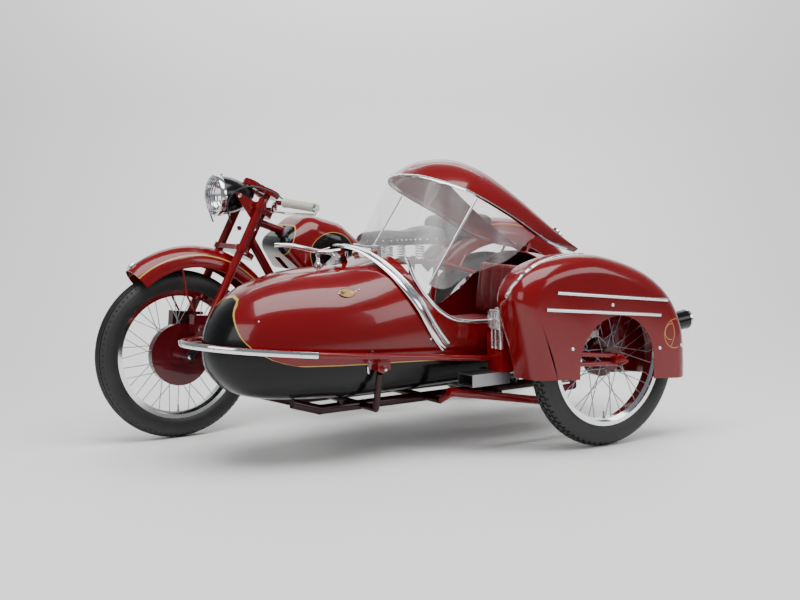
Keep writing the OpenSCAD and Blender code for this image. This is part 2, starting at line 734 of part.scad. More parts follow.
module tail_lamps() color(paint_red) placed() {
    difference() {
        translate([-1864, 0, 686]) rotate([0, -62, 0]) {
            cylinder(h = 62, r = 40, $fn = 64);
            translate([0, 0, 61]) cylinder(h = 12, r = 36, $fn = 64);
        }
        translate([rear_guard_x, 0, rear_guard_z]) rotate([90, 0, 0])
            cylinder(h = 200, r = rear_guard_r + seat_gap, center = true, $fn = 200);
    }
    difference() {
        union() {
            translate([-1560, crown_y - 24, 425]) rotate([0, -84, 0]) cylinder(h = 130, r = 38, $fn = 64);
            translate([-1560, crown_y - 24, 312]) rotate([0, -84, 0]) cylinder(h = 80, r = 34, $fn = 64);
        }
        fender_solid(-seat_gap, 40);
    }
}

// ---------------------------------------------------------------- sidecar

chassis_z = body_bottom - chassis_r - 6;
chassis_in = body_y - 120;
chassis_out = body_y + 230;
chassis_mid = body_y + 120;
cross_front = -680;
cross_rear = -952;

// A clamp block round one of the motorcycle's lower frame tubes.
module frame_clamp(x) {
    difference() {
        translate([x - 30, cradle_y - 16, 200 - 23]) cube([60, 48, 46]);
        rod([-620, cradle_y, 200], [-1020, cradle_y, 200], 13 + fit);
    }
}

module chassis() color(paint_maroon) placed() {
    for (y = [chassis_in, chassis_mid])
        tube([[-120, y, chassis_z + 34], [-230, y, chassis_z], [-1400, y, chassis_z]], chassis_r);
    for (x = [cross_front, cross_rear]) {
        rod([x, cradle_y + 20, chassis_z], [x, chassis_out, chassis_z], chassis_r - 5);
        frame_clamp(x);
    }
    rod([-1380, chassis_in, chassis_z], [-1380, chassis_mid, chassis_z], chassis_r - 5);
    rod([-400, chassis_in, chassis_z], [-400, chassis_out, chassis_z], chassis_r - 5);
    rod([-400, chassis_out, chassis_z], [-376, chassis_out + 70, 330], 12);
    for (x = [-320, -1100]) for (y = [chassis_in, chassis_mid])
        translate([x, y, chassis_z]) cylinder(h = chassis_r + 11, r = 16, $fn = 32);
}

// Half width, top and bottom of the sidecar body at stations along its length.
body_profile = [
    [150, 0.06, 425, 395], [138, 0.24, 480, 350], [105, 0.44, 545, 305], [50, 0.64, 600, 262],
    [-40, 0.82, 650, 238], [-180, 0.94, 684, 224], [-360, 1.0, 700, body_bottom],
    [-548, 1.0, cowl_h, body_bottom], [-760, 1.0, cowl_h + 4, body_bottom + 3],
    [-1000, 1.0, cowl_h - 8, body_bottom + 8], [-1200, 0.96, cowl_h - 22, body_bottom + 16],
    [-1380, 0.84, cowl_h - 65, body_bottom + 34], [-1520, 0.62, cowl_h - 150, body_bottom + 70],
    [-1600, 0.34, cowl_h - 240, body_bottom + 120], [-1630, 0.08, cowl_h - 310, body_bottom + 170]];
full_side = 0.80;
full_top = 0.86;
belt = 0.44;

// One closed ring of the body's skin at a station, drawn in by some thickness.
function body_ring(s, inset, sides) =
    let (w = max(s[1] * body_w / 2 - inset, 4), mid = s[3] + belt * (s[2] - s[3]),
         up = max(s[2] - mid - inset, 4), down = max(mid - s[3] - inset, 4))
    [for (j = [0 : sides - 1]) let (a = j * 360 / sides, c = cos(a), n = sin(a))
        [s[0], body_y + w * sign(c) * pow(abs(c), full_side),
         mid + (n > 0 ? up : down) * sign(n) * pow(abs(n), full_top)]];

module body_skin(inset, steps, sides) {
    stations = smooth(body_profile, steps);
    first = inset > 0 ? 2 : 0;
    loft([for (i = [first : steps - first]) body_ring(stations[i], inset, sides)]);
}

// The cockpit's outline seen from the side.
cockpit_line = [[-548, 900], [-550, 712], [-572, 632], [-612, 566], [-664, 516], [-722, 488],
    [-790, 476], [-940, 472], [-1040, 490], [-1130, 550], [-1200, 640], [-1250, 900]];

module cockpit_cut(reach) {
    translate([0, body_y + reach, 0]) rotate([90, 0, 0]) linear_extrude(2 * reach)
        polygon(cockpit_line);
}

module sidecar_body() color(paint_red) placed() difference() {
    body_skin(0, 34, 32);
    body_skin(skin, 34, 32);
    cockpit_cut(400);
}

seat_box_top = body_bottom + 124;

module seat_box() color([0.2, 0.18, 0.16]) placed() intersection() {
    translate([-1200, body_y - 150, body_bottom]) cube([320, 300, seat_box_top - body_bottom]);
    body_skin(skin + seat_gap, 34, 32);
}

// Hinge barrels of the canopy on brackets that stand on the cowl.
module cockpit_trim() color(chrome) placed() difference() {
    for (s = [-1, 1]) translate([hinge_x, body_y + s * 67, hinge_z]) rotate([90, 0, 0]) difference() {
        union() {
            cylinder(h = 46, r = 8, center = true, $fn = 32);
            translate([-8, -50, -23]) cube([16, 50, 46]);
        }
        cylinder(h = 60, r = 4 + fit, center = true, $fn = 32);
    }
    body_skin(-seat_gap, 34, 32);
}

module sidecar_seat() color([0.2, 0.03, 0.03]) placed() {
    translate([-1180, body_y - 200, seat_box_top + seat_gap]) cube([320, 400, 110]);
    translate([-1172, body_y - 170, seat_box_top + 110 + 2 * seat_gap]) rotate([0, -8, 0]) cube([62, 340, 214]);
}

// ---------------------------------------------------------------- fender

fender_rear = -1600;
crown_y = fender_y - 100;
fender_outline = smooth([[-862, 287], [-838, 390], [-806, 500], [-790, 590], [-838, 668], [-936, 710],
    [-1076, 726], [-1219, 709], [-1392, 648], [-1512, 560], [-1578, 450], [-1597, 340], [fender_rear, 237]], 36);

// The fender's outline drawn in by some distance towards its middle.
function fender_ring(inset, y) = [for (p = fender_outline)
    let (m = [-1200, min(p.y, 330)], v = p - m, q = p - v / norm(v) * inset) [q.x, y, q.y]];

module fender_solid(thin, drop) {
    outer_round = 78;
    inner_round = 50;
    steps = 7;
    last = len(fender_outline) - 1;
    a_rings = [for (i = [0 : steps]) let (a = 90 * i / steps)
        fender_ring(thin + (inner_round - thin) * (1 - sin(a)),
                    fender_y - fender_w + inner_round - (inner_round - thin) * cos(a))];
    b_rings = [for (i = [0 : steps]) let (a = 90 * i / steps)
        fender_ring(thin + (outer_round - thin) * (1 - cos(a)),
                    fender_y - outer_round + (outer_round - thin) * sin(a))];
    loft([for (g = concat(a_rings, b_rings))
        concat([[g[0].x, g[0].y, g[0].z - drop]], g, [[g[last].x, g[last].y, g[last].z - drop]])]);
}

arch_x = car_x + 12;
arch_z = 316;

module fender() color(paint_red) placed() difference() {
    union() {
        difference() {
            fender_solid(0, 1);
            fender_solid(sheet, 60);
        }
        translate([-930, chassis_out + 84, 300]) cube([96, fender_y - fender_w + 2 - chassis_out - 84, 142]);
    }
    translate([arch_x, fender_y - 40, arch_z]) rotate([-90, 0, 0]) cylinder(h = 80, r = arch_r, $fn = 96);
    translate([arch_x - arch_r, fender_y - 40, arch_z - 200]) cube([2 * arch_r, 80, 200]);
    translate([car_x - 60, fender_y - fender_w - 5, 0]) cube([120, 30, 420]);
}

rail_line = smooth([[-832, 950, 345], [-526, 952, 377], [-300, 948, 400], [-105, 930, 420], [60, 880, 438],
    [170, 790, 449], [222, 690, 454], [225, 600, 453], [180, 500, 447], [80, 410, 436], [-60, 360, 421],
    [-190, 336, 408]], 48);

// The bumper rail starts at the running board, wraps round the nose and has two brackets.
module bumper_rail() color(paint_red) placed() {
    sweep(rail_line, rail_r, [0, 0, 1], 12);
    difference() {
        union() {
            translate([-400, chassis_out + 30, 344]) cube([52, 74, 30]);
            rod([-170, 337, 410], [-170, 400, 410], 9);
        }
        body_skin(-seat_gap, 34, 32);
    }
}

// A half-round strip along the fender's flat side.
module side_strip(a, b, r) {
    intersection() {
        rod(a, b, r);
        translate([-2000, fender_y, 300]) cube([1500, 40, 500]);
    }
}

module chrome_strips() color(chrome) placed() {
    side_strip([-937, fender_y, 599], [-1467, fender_y, 538], 7);
    side_strip([-887, fender_y, 542], [-1432, fender_y, 484], 7);
}

module side_lamp() color(chrome) placed()
    translate([-885, chassis_out + 100, 442 + seat_gap]) cube([55, fender_y - fender_w - seat_gap - chassis_out - 100, 88]);

// A folded step under the running board, open at both ends.
module step_box() color(steel) placed() difference() {
    translate([-885, chassis_out + 64, 254]) cube([170, 92, 46 - seat_gap]);
    translate([-886, chassis_out + 68, 258]) cube([172, 84, 38 - seat_gap]);
}

axle_in = chassis_out + 70;
boss_y = car_y + 58;

// The axle, its swinging arm inboard of the wheel and the support outboard of it.
module sidecar_axle() color(paint_maroon) placed() {
    rod([car_x, axle_in, tyre_r], [car_x, boss_y + 44, tyre_r], axle_r);
    rod([car_x, axle_in - 20, tyre_r], [car_x, car_y - hub_half - 8, tyre_r], 24);
    tube([[car_x - 4, axle_in + 10, tyre_r], [car_x - 14, axle_in + 10, 196], [-1110, axle_in + 10, 190]], 13);
    rod([cross_front + 10, axle_in - 2, 232], [-1118, axle_in + 2, 150], 16);
    rod([-1112, axle_in + 4, 150], [-1112, axle_in + 10, 200], 14);
    rod([cross_front, chassis_out + 6, chassis_z + 3], [cross_front, axle_in + 10, 230], 12);
    difference() {
        union() {
            translate([car_x, boss_y, tyre_r]) rotate([-90, 0, 0]) cylinder(h = 34, r = 24, $fn = 48);
            rod([car_x + 6, boss_y + 15, tyre_r + 14], [-975, boss_y + 15, 378], 9);
            rod([car_x + 6, boss_y + 15, tyre_r - 14], [-975, boss_y + 15, 336], 9);
            translate([-990, boss_y + 8, 318]) cube([34, fender_y - sheet - seat_gap - boss_y - 8, 78]);
        }
    }
    translate([car_x, boss_y + 34, tyre_r]) rotate([-90, 0, 0]) cylinder(h = 40, r1 = 20, r2 = 5, $fn = 48);
}

// ---------------------------------------------------------------- nodes

front_tyre();
front_rim();
front_spokes();
front_hub();
rear_tyre();
rear_rim();
rear_spokes();
rear_hub();
sidecar_tyre();
sidecar_rim();
sidecar_spokes();
sidecar_hub();
fork();
spring_boxes();
fork_links();
headlamp();
headlamp_lens();
handlebar();
grips();
levers();
front_mudguard();
mudguard_stays();
front_brake_plate();
roof();
windshield();
side_windows();
canopy_trim();
frame();
crankcase();
engine_barrel();  // cylinder
exhaust();
tank();
saddle();
saddle_springs();
pillion();
rear_mudguard();
tail_lamps();
chassis();
bumper_rail();
sidecar_body();
cockpit_trim();
seat_box();
sidecar_seat();
fender();
chrome_strips();
side_lamp();
step_box();
sidecar_axle();
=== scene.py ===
# %% [markdown]
# # A motorcycle with a covered sidecar
#
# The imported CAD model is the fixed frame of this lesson. Every piece that is made here
# takes its place from that frame, in metres, and rides on one of its bodies.

# %% Load the frame
import json
import math

import bmesh
import bpy
from mathutils import Matrix, Vector
from mathutils.bvhtree import BVHTree


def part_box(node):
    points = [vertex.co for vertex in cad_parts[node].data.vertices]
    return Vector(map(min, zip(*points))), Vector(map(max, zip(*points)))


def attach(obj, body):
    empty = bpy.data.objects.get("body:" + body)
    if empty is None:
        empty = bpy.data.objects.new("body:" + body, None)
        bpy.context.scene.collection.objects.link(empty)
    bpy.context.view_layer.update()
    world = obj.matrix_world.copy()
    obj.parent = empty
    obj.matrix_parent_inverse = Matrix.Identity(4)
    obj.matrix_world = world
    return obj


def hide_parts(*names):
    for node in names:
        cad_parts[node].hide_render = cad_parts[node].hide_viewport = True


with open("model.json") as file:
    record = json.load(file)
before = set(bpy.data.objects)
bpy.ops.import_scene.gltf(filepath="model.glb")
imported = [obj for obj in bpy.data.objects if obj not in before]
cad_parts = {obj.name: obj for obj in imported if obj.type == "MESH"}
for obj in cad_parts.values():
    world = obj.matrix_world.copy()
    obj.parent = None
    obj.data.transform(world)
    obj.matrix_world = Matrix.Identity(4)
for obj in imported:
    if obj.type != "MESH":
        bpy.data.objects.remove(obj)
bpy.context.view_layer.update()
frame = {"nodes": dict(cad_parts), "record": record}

nodes = frame["nodes"]

# %% [markdown]
# ## Measures
#
# The machine was drawn from the front wheel's ground contact, in millimetres. Keeping those
# numbers makes them easy to compare with the drawing, so one function moves them to the frame.

# %% From drawing millimetres to metres in the frame
front_axle_x = (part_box("front_tyre")[0].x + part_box("front_tyre")[1].x) / 2
cycle_y = (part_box("front_tyre")[0].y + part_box("front_tyre")[1].y) / 2
REAR_X, CAR_X, CAR_Y = -1502, -1235, 1122


def spot(x, y, z):
    """A point of the drawing, as a point in the frame."""
    return Vector((front_axle_x + x / 1000, cycle_y + y / 1000, z / 1000))


print("front axle at", [round(v, 3) for v in spot(0, 0, 331.5)])

# %% [markdown]
# ## The camera
#
# The camera stands off the front left corner at chest height. Its turn is built from the
# direction that it looks in, so that no angle has to be guessed twice.

# %% Place the camera
look = Vector((-0.53519, -0.83858, -0.10177)).normalized()
side = look.cross(Vector((0, 0, 1))).normalized()
top = side.cross(look)
roll = -0.0156
right = math.cos(roll) * side + math.sin(roll) * top
up = math.cos(roll) * top - math.sin(roll) * side
camera_data = bpy.data.cameras.new("camera")
camera_data.lens = 59.45
camera_data.sensor_width = 36
camera = bpy.data.objects.new("camera", camera_data)
bpy.context.scene.collection.objects.link(camera)
turn = Matrix((right, up, -look)).transposed().to_4x4()
camera.matrix_world = Matrix.Translation((2.87065, 4.4132, 1.0586)) @ turn
bpy.context.scene.camera = camera
print("camera at", [round(v, 2) for v in camera.matrix_world.translation])

# %% [markdown]
# ## Shader maths as plain expressions
#
# A material is a small network of nodes. Wiring it by hand hides the idea, so one class
# wraps a socket: an expression such as `1 - mask` adds the Math node that it needs, and
# `make` adds any other node.


# %% A socket that can be used in sums
class Wire:
    """One output socket of a material's node tree."""

    def __init__(self, tree, socket=None):
        self.tree, self.socket = tree, socket

    def make(self, kind, settings=None, sockets=None, out=0):
        node = self.tree.nodes.new(kind)
        for name, value in (settings or {}).items():
            if name == "stops":
                ramp = node.color_ramp
                ramp.interpolation = "B_SPLINE"
                while len(ramp.elements) < len(value):
                    ramp.elements.new(0.5)
                for element, (place, colour) in zip(ramp.elements, value):
                    element.position = place
                    element.color = colour
            else:
                setattr(node, name, value)
        for key, value in (sockets or {}).items():
            if isinstance(value, Wire):
                self.tree.links.new(value.socket, node.inputs[key])
            else:
                node.inputs[key].default_value = value
        return Wire(self.tree, node.outputs[out])

    def sum(self, operation, first, second):
        return self.make("ShaderNodeMath", {"operation": operation}, {0: first, 1: second})

    def __add__(self, other):
        return self.sum("ADD", self, other)

    def __radd__(self, other):
        return self.sum("ADD", other, self)

    def __sub__(self, other):
        return self.sum("SUBTRACT", self, other)

    def __rsub__(self, other):
        return self.sum("SUBTRACT", other, self)

    def __mul__(self, other):
        return self.sum("MULTIPLY", self, other)

    def __rmul__(self, other):
        return self.sum("MULTIPLY", other, self)

    def __truediv__(self, other):
        return self.sum("DIVIDE", self, other)

    def __rtruediv__(self, other):
        return self.sum("DIVIDE", other, self)

    def __pow__(self, other):
        return self.sum("POWER", self, other)

    def highest(self, other):
        return self.sum("MAXIMUM", self, other)

    def lowest(self, other):
        return self.sum("MINIMUM", self, other)

    def size(self):
        return self.sum("ABSOLUTE", self, 0.0)

    def ease(self, low, high):
        """From 0 at low to 1 at high, with a soft start and end."""
        return self.make("ShaderNodeMapRange", {"interpolation_type": "SMOOTHSTEP"},
                         {"Value": self, "From Min": low, "From Max": high})

    def blend(self, first, second):
        """A colour that is first where this is 0 and second where it is 1."""
        return self.make("ShaderNodeMix", {"data_type": "RGBA"},
                         {"Factor": self, 6: first, 7: second}, out=2)

    def noise(self, scale, detail=3.0, stretch=(1, 1, 1)):
        """Noise in the piece's own metres: scale is how many lumps fit in a metre."""
        place = self.place()
        if stretch != (1, 1, 1):
            place = self.make("ShaderNodeMapping", {}, {"Vector": place, "Scale": stretch})
        return self.make("ShaderNodeTexNoise", {}, {"Vector": place, "Scale": scale,
                                                     "Detail": detail})

    def cells(self, scale, feature="F1"):
        return self.make("ShaderNodeTexVoronoi", {"feature": feature},
                         {"Vector": self.place(), "Scale": scale})

    def place(self):
        return self.make("ShaderNodeTexCoord", out=3)

    def axes(self):
        """Drawing x, y and z in millimetres at the shaded point."""
        split = self.make("ShaderNodeSeparateXYZ", {}, {"Vector": self.place()})
        outs = [Wire(self.tree, split.socket.node.outputs[i]) for i in range(3)]
        return ((outs[0] - front_axle_x) * 1000, (outs[1] - cycle_y) * 1000, outs[2] * 1000)


def colour(red, green, blue):
    return (red, green, blue, 1.0)


def finish(name, base, roughness, metallic=0.0, **fixed):
    """A new material with a Principled shader, and a Wire to build its patterns with."""
    material = bpy.data.materials.new(name)
    material.use_nodes = True
    shader = material.node_tree.nodes["Principled BSDF"]
    shader.inputs["Base Color"].default_value = base
    shader.inputs["Roughness"].default_value = roughness
    shader.inputs["Metallic"].default_value = metallic
    for key, value in fixed.items():
        shader.inputs[key.replace("_", " ")].default_value = value
    return material, Wire(material.node_tree), shader


def feed(wire, shader, **inputs):
    for key, value in inputs.items():
        wire.tree.links.new(value.socket, shader.inputs[key.replace("_", " ")])


def bump(wire, shader, height, strength, distance):
    normal = wire.make("ShaderNodeBump", {}, {"Height": height, "Strength": strength,
                                             "Distance": distance})
    feed(wire, shader, Normal=normal)


print("shader helpers ready")

# %% [markdown]
# ## Paint
#
# Old stove enamel is a deep colour under a clear, slightly rippled gloss. The ripple is a
# very low bump at a scale of a few millimetres, and fine dust lifts the roughness a little.
# One function makes every plain paint.

# %% Plain paints
RED = colour(0.165, 0.0012, 0.003)
MAROON = colour(0.075, 0.003, 0.006)
BLACK = colour(0.0035, 0.0035, 0.004)
GOLD = colour(0.50, 0.30, 0.07)


def paint(name, base, pattern=None, shine=None):
    material, wire, shader = finish(name, base, 0.22, Coat_Weight=0.55, Coat_Roughness=0.04,
                                    Specular_IOR_Level=0.22)
    dust = wire.noise(38.0, 4.0)
    tone = wire.noise(3.0, 2.0)
    shade = [c * 0.86 for c in base[:3]] + [1.0]
    plain = tone.ease(0.3, 0.7).blend(tuple(shade), base)
    feed(wire, shader, Base_Color=pattern(wire, plain) if pattern else plain,
         Roughness=dust * 0.10 + 0.15)
    if shine is not None:
        feed(wire, shader, Coat_Weight=shine(wire) * 0.45 + 0.1)
    bump(wire, shader, wire.noise(240.0, 1.0), 0.05, 0.0008)
    return material


red_paint = paint("red_enamel", RED)
maroon_paint = paint("maroon_enamel", MAROON)
black_paint = paint("black_enamel", BLACK, shine=lambda wire: wire.noise(5.0) * 0.3)
chassis_paint = paint("chassis_enamel", colour(0.022, 0.0016, 0.0028),
                      shine=lambda wire: wire.noise(5.0) * 0.4)

# %% [markdown]
# ## Bright metal, rubber, leather and glass
#
# Chrome is a mirror with faint polishing haze. Steel wire is duller, cast alloy is grainy,
# and rubber and leather get their look from bump at the scale of their real grain.


# %% Metals
def metal(name, base, low, spread, grain, depth):
    material, wire, shader = finish(name, base, low, metallic=1.0)
    haze = wire.noise(26.0, 4.0)
    feed(wire, shader, Roughness=haze * spread + low,
         Base_Color=wire.noise(9.0, 3.0).blend(tuple(c * 0.9 for c in base[:3]) + (1.0,), base))
    bump(wire, shader, wire.noise(grain, 3.0), 0.12, depth)
    return material


chrome = metal("chrome", colour(0.86, 0.87, 0.89), 0.03, 0.12, 90.0, 0.0004)
steel = metal("wire_steel", colour(0.34, 0.34, 0.36), 0.22, 0.22, 500.0, 0.0002)
alloy = metal("cast_alloy", colour(0.62, 0.62, 0.63), 0.28, 0.25, 700.0, 0.0006)
bright_alloy = metal("polished_alloy", colour(0.88, 0.88, 0.88), 0.16, 0.2, 60.0, 0.0003)
bronze = metal("dark_bronze", colour(0.26, 0.17, 0.08), 0.3, 0.25, 300.0, 0.0003)


# %% Rubber and leather
def rubber_like(name, base, roughness, grain, depth, worn):
    material, wire, shader = finish(name, base, roughness)
    wear = wire.noise(14.0, 5.0).ease(0.45, 0.75)
    feed(wire, shader, Base_Color=wear.blend(base, worn), Roughness=wear * 0.12 + roughness)
    bump(wire, shader, wire.noise(grain, 4.0), 0.25, depth)
    return material


tyre_rubber = rubber_like("tyre_rubber", colour(0.012, 0.012, 0.012), 0.55, 420.0, 0.0006,
                          colour(0.022, 0.021, 0.020))
grip_rubber = rubber_like("grip_rubber", colour(0.50, 0.48, 0.42), 0.5, 300.0, 0.0006,
                          colour(0.36, 0.34, 0.29))
black_rubber = rubber_like("black_rubber", colour(0.018, 0.018, 0.018), 0.45, 300.0, 0.0005,
                           colour(0.03, 0.03, 0.03))
floor_board = rubber_like("painted_board", colour(0.05, 0.012, 0.012), 0.6, 160.0, 0.0008,
                          colour(0.03, 0.008, 0.008))


def leather(name, base, worn):
    material, wire, shader = finish(name, base, 0.38, Coat_Weight=0.15, Coat_Roughness=0.3)
    grain = wire.cells(520.0)
    crease = wire.noise(60.0, 5.0)
    wear = wire.noise(11.0, 4.0).ease(0.45, 0.8)
    feed(wire, shader, Base_Color=wear.blend(base, worn), Roughness=crease * 0.25 + 0.28)
    bump(wire, shader, grain * 0.6 + crease, 0.35, 0.0012)
    return material


black_leather = leather("black_leather", colour(0.012, 0.011, 0.011), colour(0.03, 0.026, 0.024))
red_leather = leather("red_leather", colour(0.16, 0.008, 0.012), colour(0.24, 0.02, 0.022))

# %% Glass
clear_sheet, wire, shader = finish("clear_sheet", colour(0.93, 0.91, 0.92), 0.04,
                                   Specular_IOR_Level=0.6, Coat_Weight=0.5)
# Upright streaks where the pale pinkish sheet turns more opaque are painted reflection streaks,
# laid over a faint even pale veil.
painted_reflection_streaks = wire.noise(7.0, 4.0, (1, 1, 0.12)).ease(0.42, 0.8)
feed(wire, shader, Alpha=painted_reflection_streaks * 0.16 + 0.07, Roughness=wire.noise(30.0, 4.0) * 0.03 + 0.02)
lamp_glass, wire, shader = finish("lamp_glass", colour(0.98, 0.99, 1.0), 0.02,
                                  Transmission_Weight=1.0, IOR=1.45)
ribs = wire.make("ShaderNodeTexWave", {"bands_direction": "Y"},
                 {"Vector": wire.place(), "Scale": 26.0})
bump(wire, shader, ribs, 0.5, 0.0015)
red_glass, wire, shader = finish("red_glass", colour(0.5, 0.01, 0.01), 0.08,
                                 Transmission_Weight=0.6, IOR=1.5, Coat_Weight=0.5)
bump(wire, shader, wire.cells(160.0), 0.5, 0.001)
print("materials:", len(bpy.data.materials))

# %% [markdown]
# ## Painted lines
#
# The body is red above and black below, with a gold line between. The line is a height that
# changes along the machine, so a colour ramp read along x gives it, and the mask is the
# difference between that height and the point's own.

# %% Two-colour paints
def along(wire, x, points):
    """A value that changes along x: points are (x, value) pairs in millimetres."""
    first, last = points[0][0], points[-1][0]
    least = min(v for _, v in points)
    span = max(v for _, v in points) - least
    stops = [((p - first) / (last - first), ((v - least) / span,) * 3 + (1.0,))
             for p, v in points]
    place = (x - first) / (last - first)
    ramp = wire.make("ShaderNodeValToRGB", {"stops": stops}, {0: place})
    return ramp * span + least


def two_tone(wire, edge, upper, lower, line, width=3.0):
    """upper where edge is over 0, lower under it, and a painted line of that width at 0."""
    base = edge.ease(-0.4, 0.4).blend(lower, upper)
    stroke = 1 - edge.size().ease(width / 2 - 0.3, width / 2 + 0.3)
    return stroke.blend(base, line)


def body_edge(wire):
    """Over 0 where the body is red: behind the rounded nose and above the low hull."""
    x, y, z = wire.axes()
    nose = along(wire, z, NOSE_LINE) - x
    hull = z - along(wire, x, BODY_LINE)
    return nose.lowest(hull)


def body_pattern(wire, red):
    return two_tone(wire, body_edge(wire), red, BLACK, GOLD, 3.4)


def body_shine(wire):
    return body_edge(wire).ease(-1, 1)


def tank_pattern(wire, red):
    x, y, z = wire.axes()
    nose = 0 - (x + 445 + (z - 702) * 0.47)
    knee = ((x + 640) * (x + 640) / (105 * 105) + (z - 700) * (z - 700) / (88 * 88)) - 1
    edge = nose.lowest(knee * 60)
    return two_tone(wire, edge, red, BLACK, GOLD, 3.2)


def ring_line(x, z, centre_x, centre_z, radius):
    reach = ((x - centre_x) * (x - centre_x) + (z - centre_z) * (z - centre_z)) ** 0.5
    return 1 - (reach - radius).size().ease(0.9, 1.5)


def fender_pattern(wire, red):
    x, y, z = wire.axes()
    side = y.ease(CAR_Y + 60, CAR_Y + 70)
    hem = (1 - (x + 1578).size().ease(1.2, 1.9)) * side * (1 - z.ease(600, 610))
    outer = ring_line(x, z, -1511, 408, 55) * x.ease(-1535, -1520)
    inner = ring_line(x, z, -1489, 416, 30) * x.ease(-1500, -1490)
    stem = ring_line(x, z, -1428, 410, 78) * (1 - x.ease(-1492, -1484))
    scroll = outer.highest(inner).highest(stem) * side
    return hem.highest(scroll).blend(red, GOLD)


def guard_pattern(wire, red):
    """Two fine lines near the edges of a cycle mudguard."""
    x, y, z = wire.axes()
    stroke = 1 - (y.size() - GUARD_LINE).size().ease(1.0, 1.6)
    return stroke.blend(red, GOLD)


BODY_LINE = [(-1640, 330), (-1200, 338), (-654, 348), (-478, 357), (-233, 367), (-89, 373),
             (104, 384)]
NOSE_LINE = [(340, -400), (366, -160), (373, -89), (385, -40), (398, -7), (424, 42),
             (464, 80), (501, 90), (545, 88), (580, 67), (621, 24), (640, -2), (668, -24)]
GUARD_LINE = (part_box("front_mudguard")[1].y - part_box("front_mudguard")[0].y) * 500 - 9
body_paint = paint("body_enamel", RED, body_pattern, body_shine)
tank_paint = paint("tank_enamel", RED, tank_pattern)
fender_paint = paint("fender_enamel", RED, fender_pattern)
guard_paint = paint("mudguard_enamel", RED, guard_pattern)
print("painted lines ready")

# %% [markdown]
# ## The CAD pieces
#
# Most of the frame's own pieces are right as they are and only need a finish. Curved skins
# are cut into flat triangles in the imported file, so these get a merged copy that is shaded
# smooth, and sharp only where the real edge is sharp.

# %% Finishes for the CAD pieces
bodies = frame["record"]["behaviour"]["bodies"]
body_of_node = {node: body for body, members in bodies.items() for node in members}


def smooth_copy(node, material, sharp=32):
    """A merged copy of a CAD piece, smooth but for edges that turn by more than sharp."""
    mesh = bpy.data.meshes.new(node + "_skin")
    shape = bmesh.new()
    shape.from_mesh(nodes[node].data)
    bmesh.ops.remove_doubles(shape, verts=shape.verts, dist=0.00003)
    for face in shape.faces:
        face.smooth = True
        face.material_index = 0
    for edge in shape.edges:
        if len(edge.link_faces) == 2:
            edge.smooth = edge.calc_face_angle(0.0) < math.radians(sharp)
    shape.to_mesh(mesh)
    shape.free()
    mesh.materials.append(material)
    piece = bpy.data.objects.new(node + "_skin", mesh)
    bpy.context.scene.collection.objects.link(piece)
    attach(piece, body_of_node[node])
    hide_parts(node)
    return piece


smooth = {
    "sidecar_body": body_paint, "fender": fender_paint, "roof": red_paint,
    "windshield": clear_sheet, "side_windows": clear_sheet, "tank": tank_paint,
    "exhaust": chrome, "bumper_rail": red_paint, "headlamp": black_paint,
    "front_mudguard": guard_paint, "rear_mudguard": guard_paint, "frame": red_paint,
    "fork": red_paint, "chassis": chassis_paint, "handlebar": chrome, "levers": chrome,
    "canopy_trim": chrome, "cockpit_trim": chrome, "chrome_strips": chrome,
    "front_tyre": tyre_rubber, "rear_tyre": tyre_rubber, "sidecar_tyre": tyre_rubber,
    "front_rim": chrome, "rear_rim": chrome, "sidecar_rim": chrome,
    "front_hub": maroon_paint, "rear_hub": maroon_paint, "sidecar_hub": maroon_paint,
    "front_spokes": steel, "rear_spokes": steel, "sidecar_spokes": steel,
    "spring_boxes": maroon_paint, "fork_links": chrome, "mudguard_stays": red_paint,
    "front_brake_plate": maroon_paint, "sidecar_axle": red_paint, "step_box": steel,
    "tail_lamps": black_paint, "seat_box": floor_board,
}
skins = {node: smooth_copy(node, material, 50 if node == "fender" else 32)
         for node, material in smooth.items()}
print("skins:", len(skins), "triangles:",
      sum(len(s.data.polygons) for s in skins.values()))

# %% [markdown]
# ## Turned, swept and doubled shapes
#
# Most parts of a machine are turned on a lathe, bent from a bar, or repeated round a circle.
# Three helpers cover them. `turned` spins a drawn edge about a line, `swept` pushes a section
# along a path, and `add` puts the finished bmesh in the scene on the right body.


# %% Shape helpers
def standing(axis):
    """The turn that takes the z axis to the given direction."""
    return Vector(axis).to_track_quat("Z", "Y").to_matrix().to_4x4()


def turned(shape, edge, centre, axis, steps=48):
    """Spins points (radius, along) about the axis through centre; all in metres."""
    before = set(shape.verts)
    verts = [shape.verts.new((r, 0, h)) for r, h in edge]
    wires = [shape.edges.new(pair) for pair in zip(verts, verts[1:])]
    bmesh.ops.spin(shape, geom=verts + wires, cent=(0, 0, 0), axis=(0, 0, 1),
                   dvec=(0, 0, 0), angle=math.tau, steps=steps, use_merge=True)
    made = [v for v in shape.verts if v not in before]
    bmesh.ops.remove_doubles(shape, verts=made, dist=0.000002)
    made = [v for v in made if v.is_valid]
    bmesh.ops.transform(shape, matrix=Matrix.Translation(centre) @ standing(axis), verts=made)
    return made


def swept(shape, section, stations):
    """Pushes a closed section through stations of (place, along, up)."""
    rings = []
    for place, along_way, upward in stations:
        t = Vector(along_way).normalized()
        n = (Vector(upward) - Vector(upward).dot(t) * t).normalized()
        b = t.cross(n)
        ring = bmesh.ops.create_circle(shape, segments=len(section), radius=0.001)["verts"]
        for v, (across, high) in zip(ring, section):
            v.co = Vector(place) + across * b + high * n
        rings.append(ring)
    for first, second in zip(rings, rings[1:]):
        loops = [e for v in first + second for e in v.link_edges
                 if e.other_vert(v) in first or e.other_vert(v) in second]
        loops = [e for e in set(loops) if len(e.link_faces) < 2 and
                 (e.verts[0] in first) == (e.verts[1] in first)]
        bmesh.ops.bridge_loops(shape, edges=loops)
    for ring in (rings[0], rings[-1]):
        bmesh.ops.contextual_create(shape, geom=ring)
    made = [v for ring in rings for v in ring]
    return made


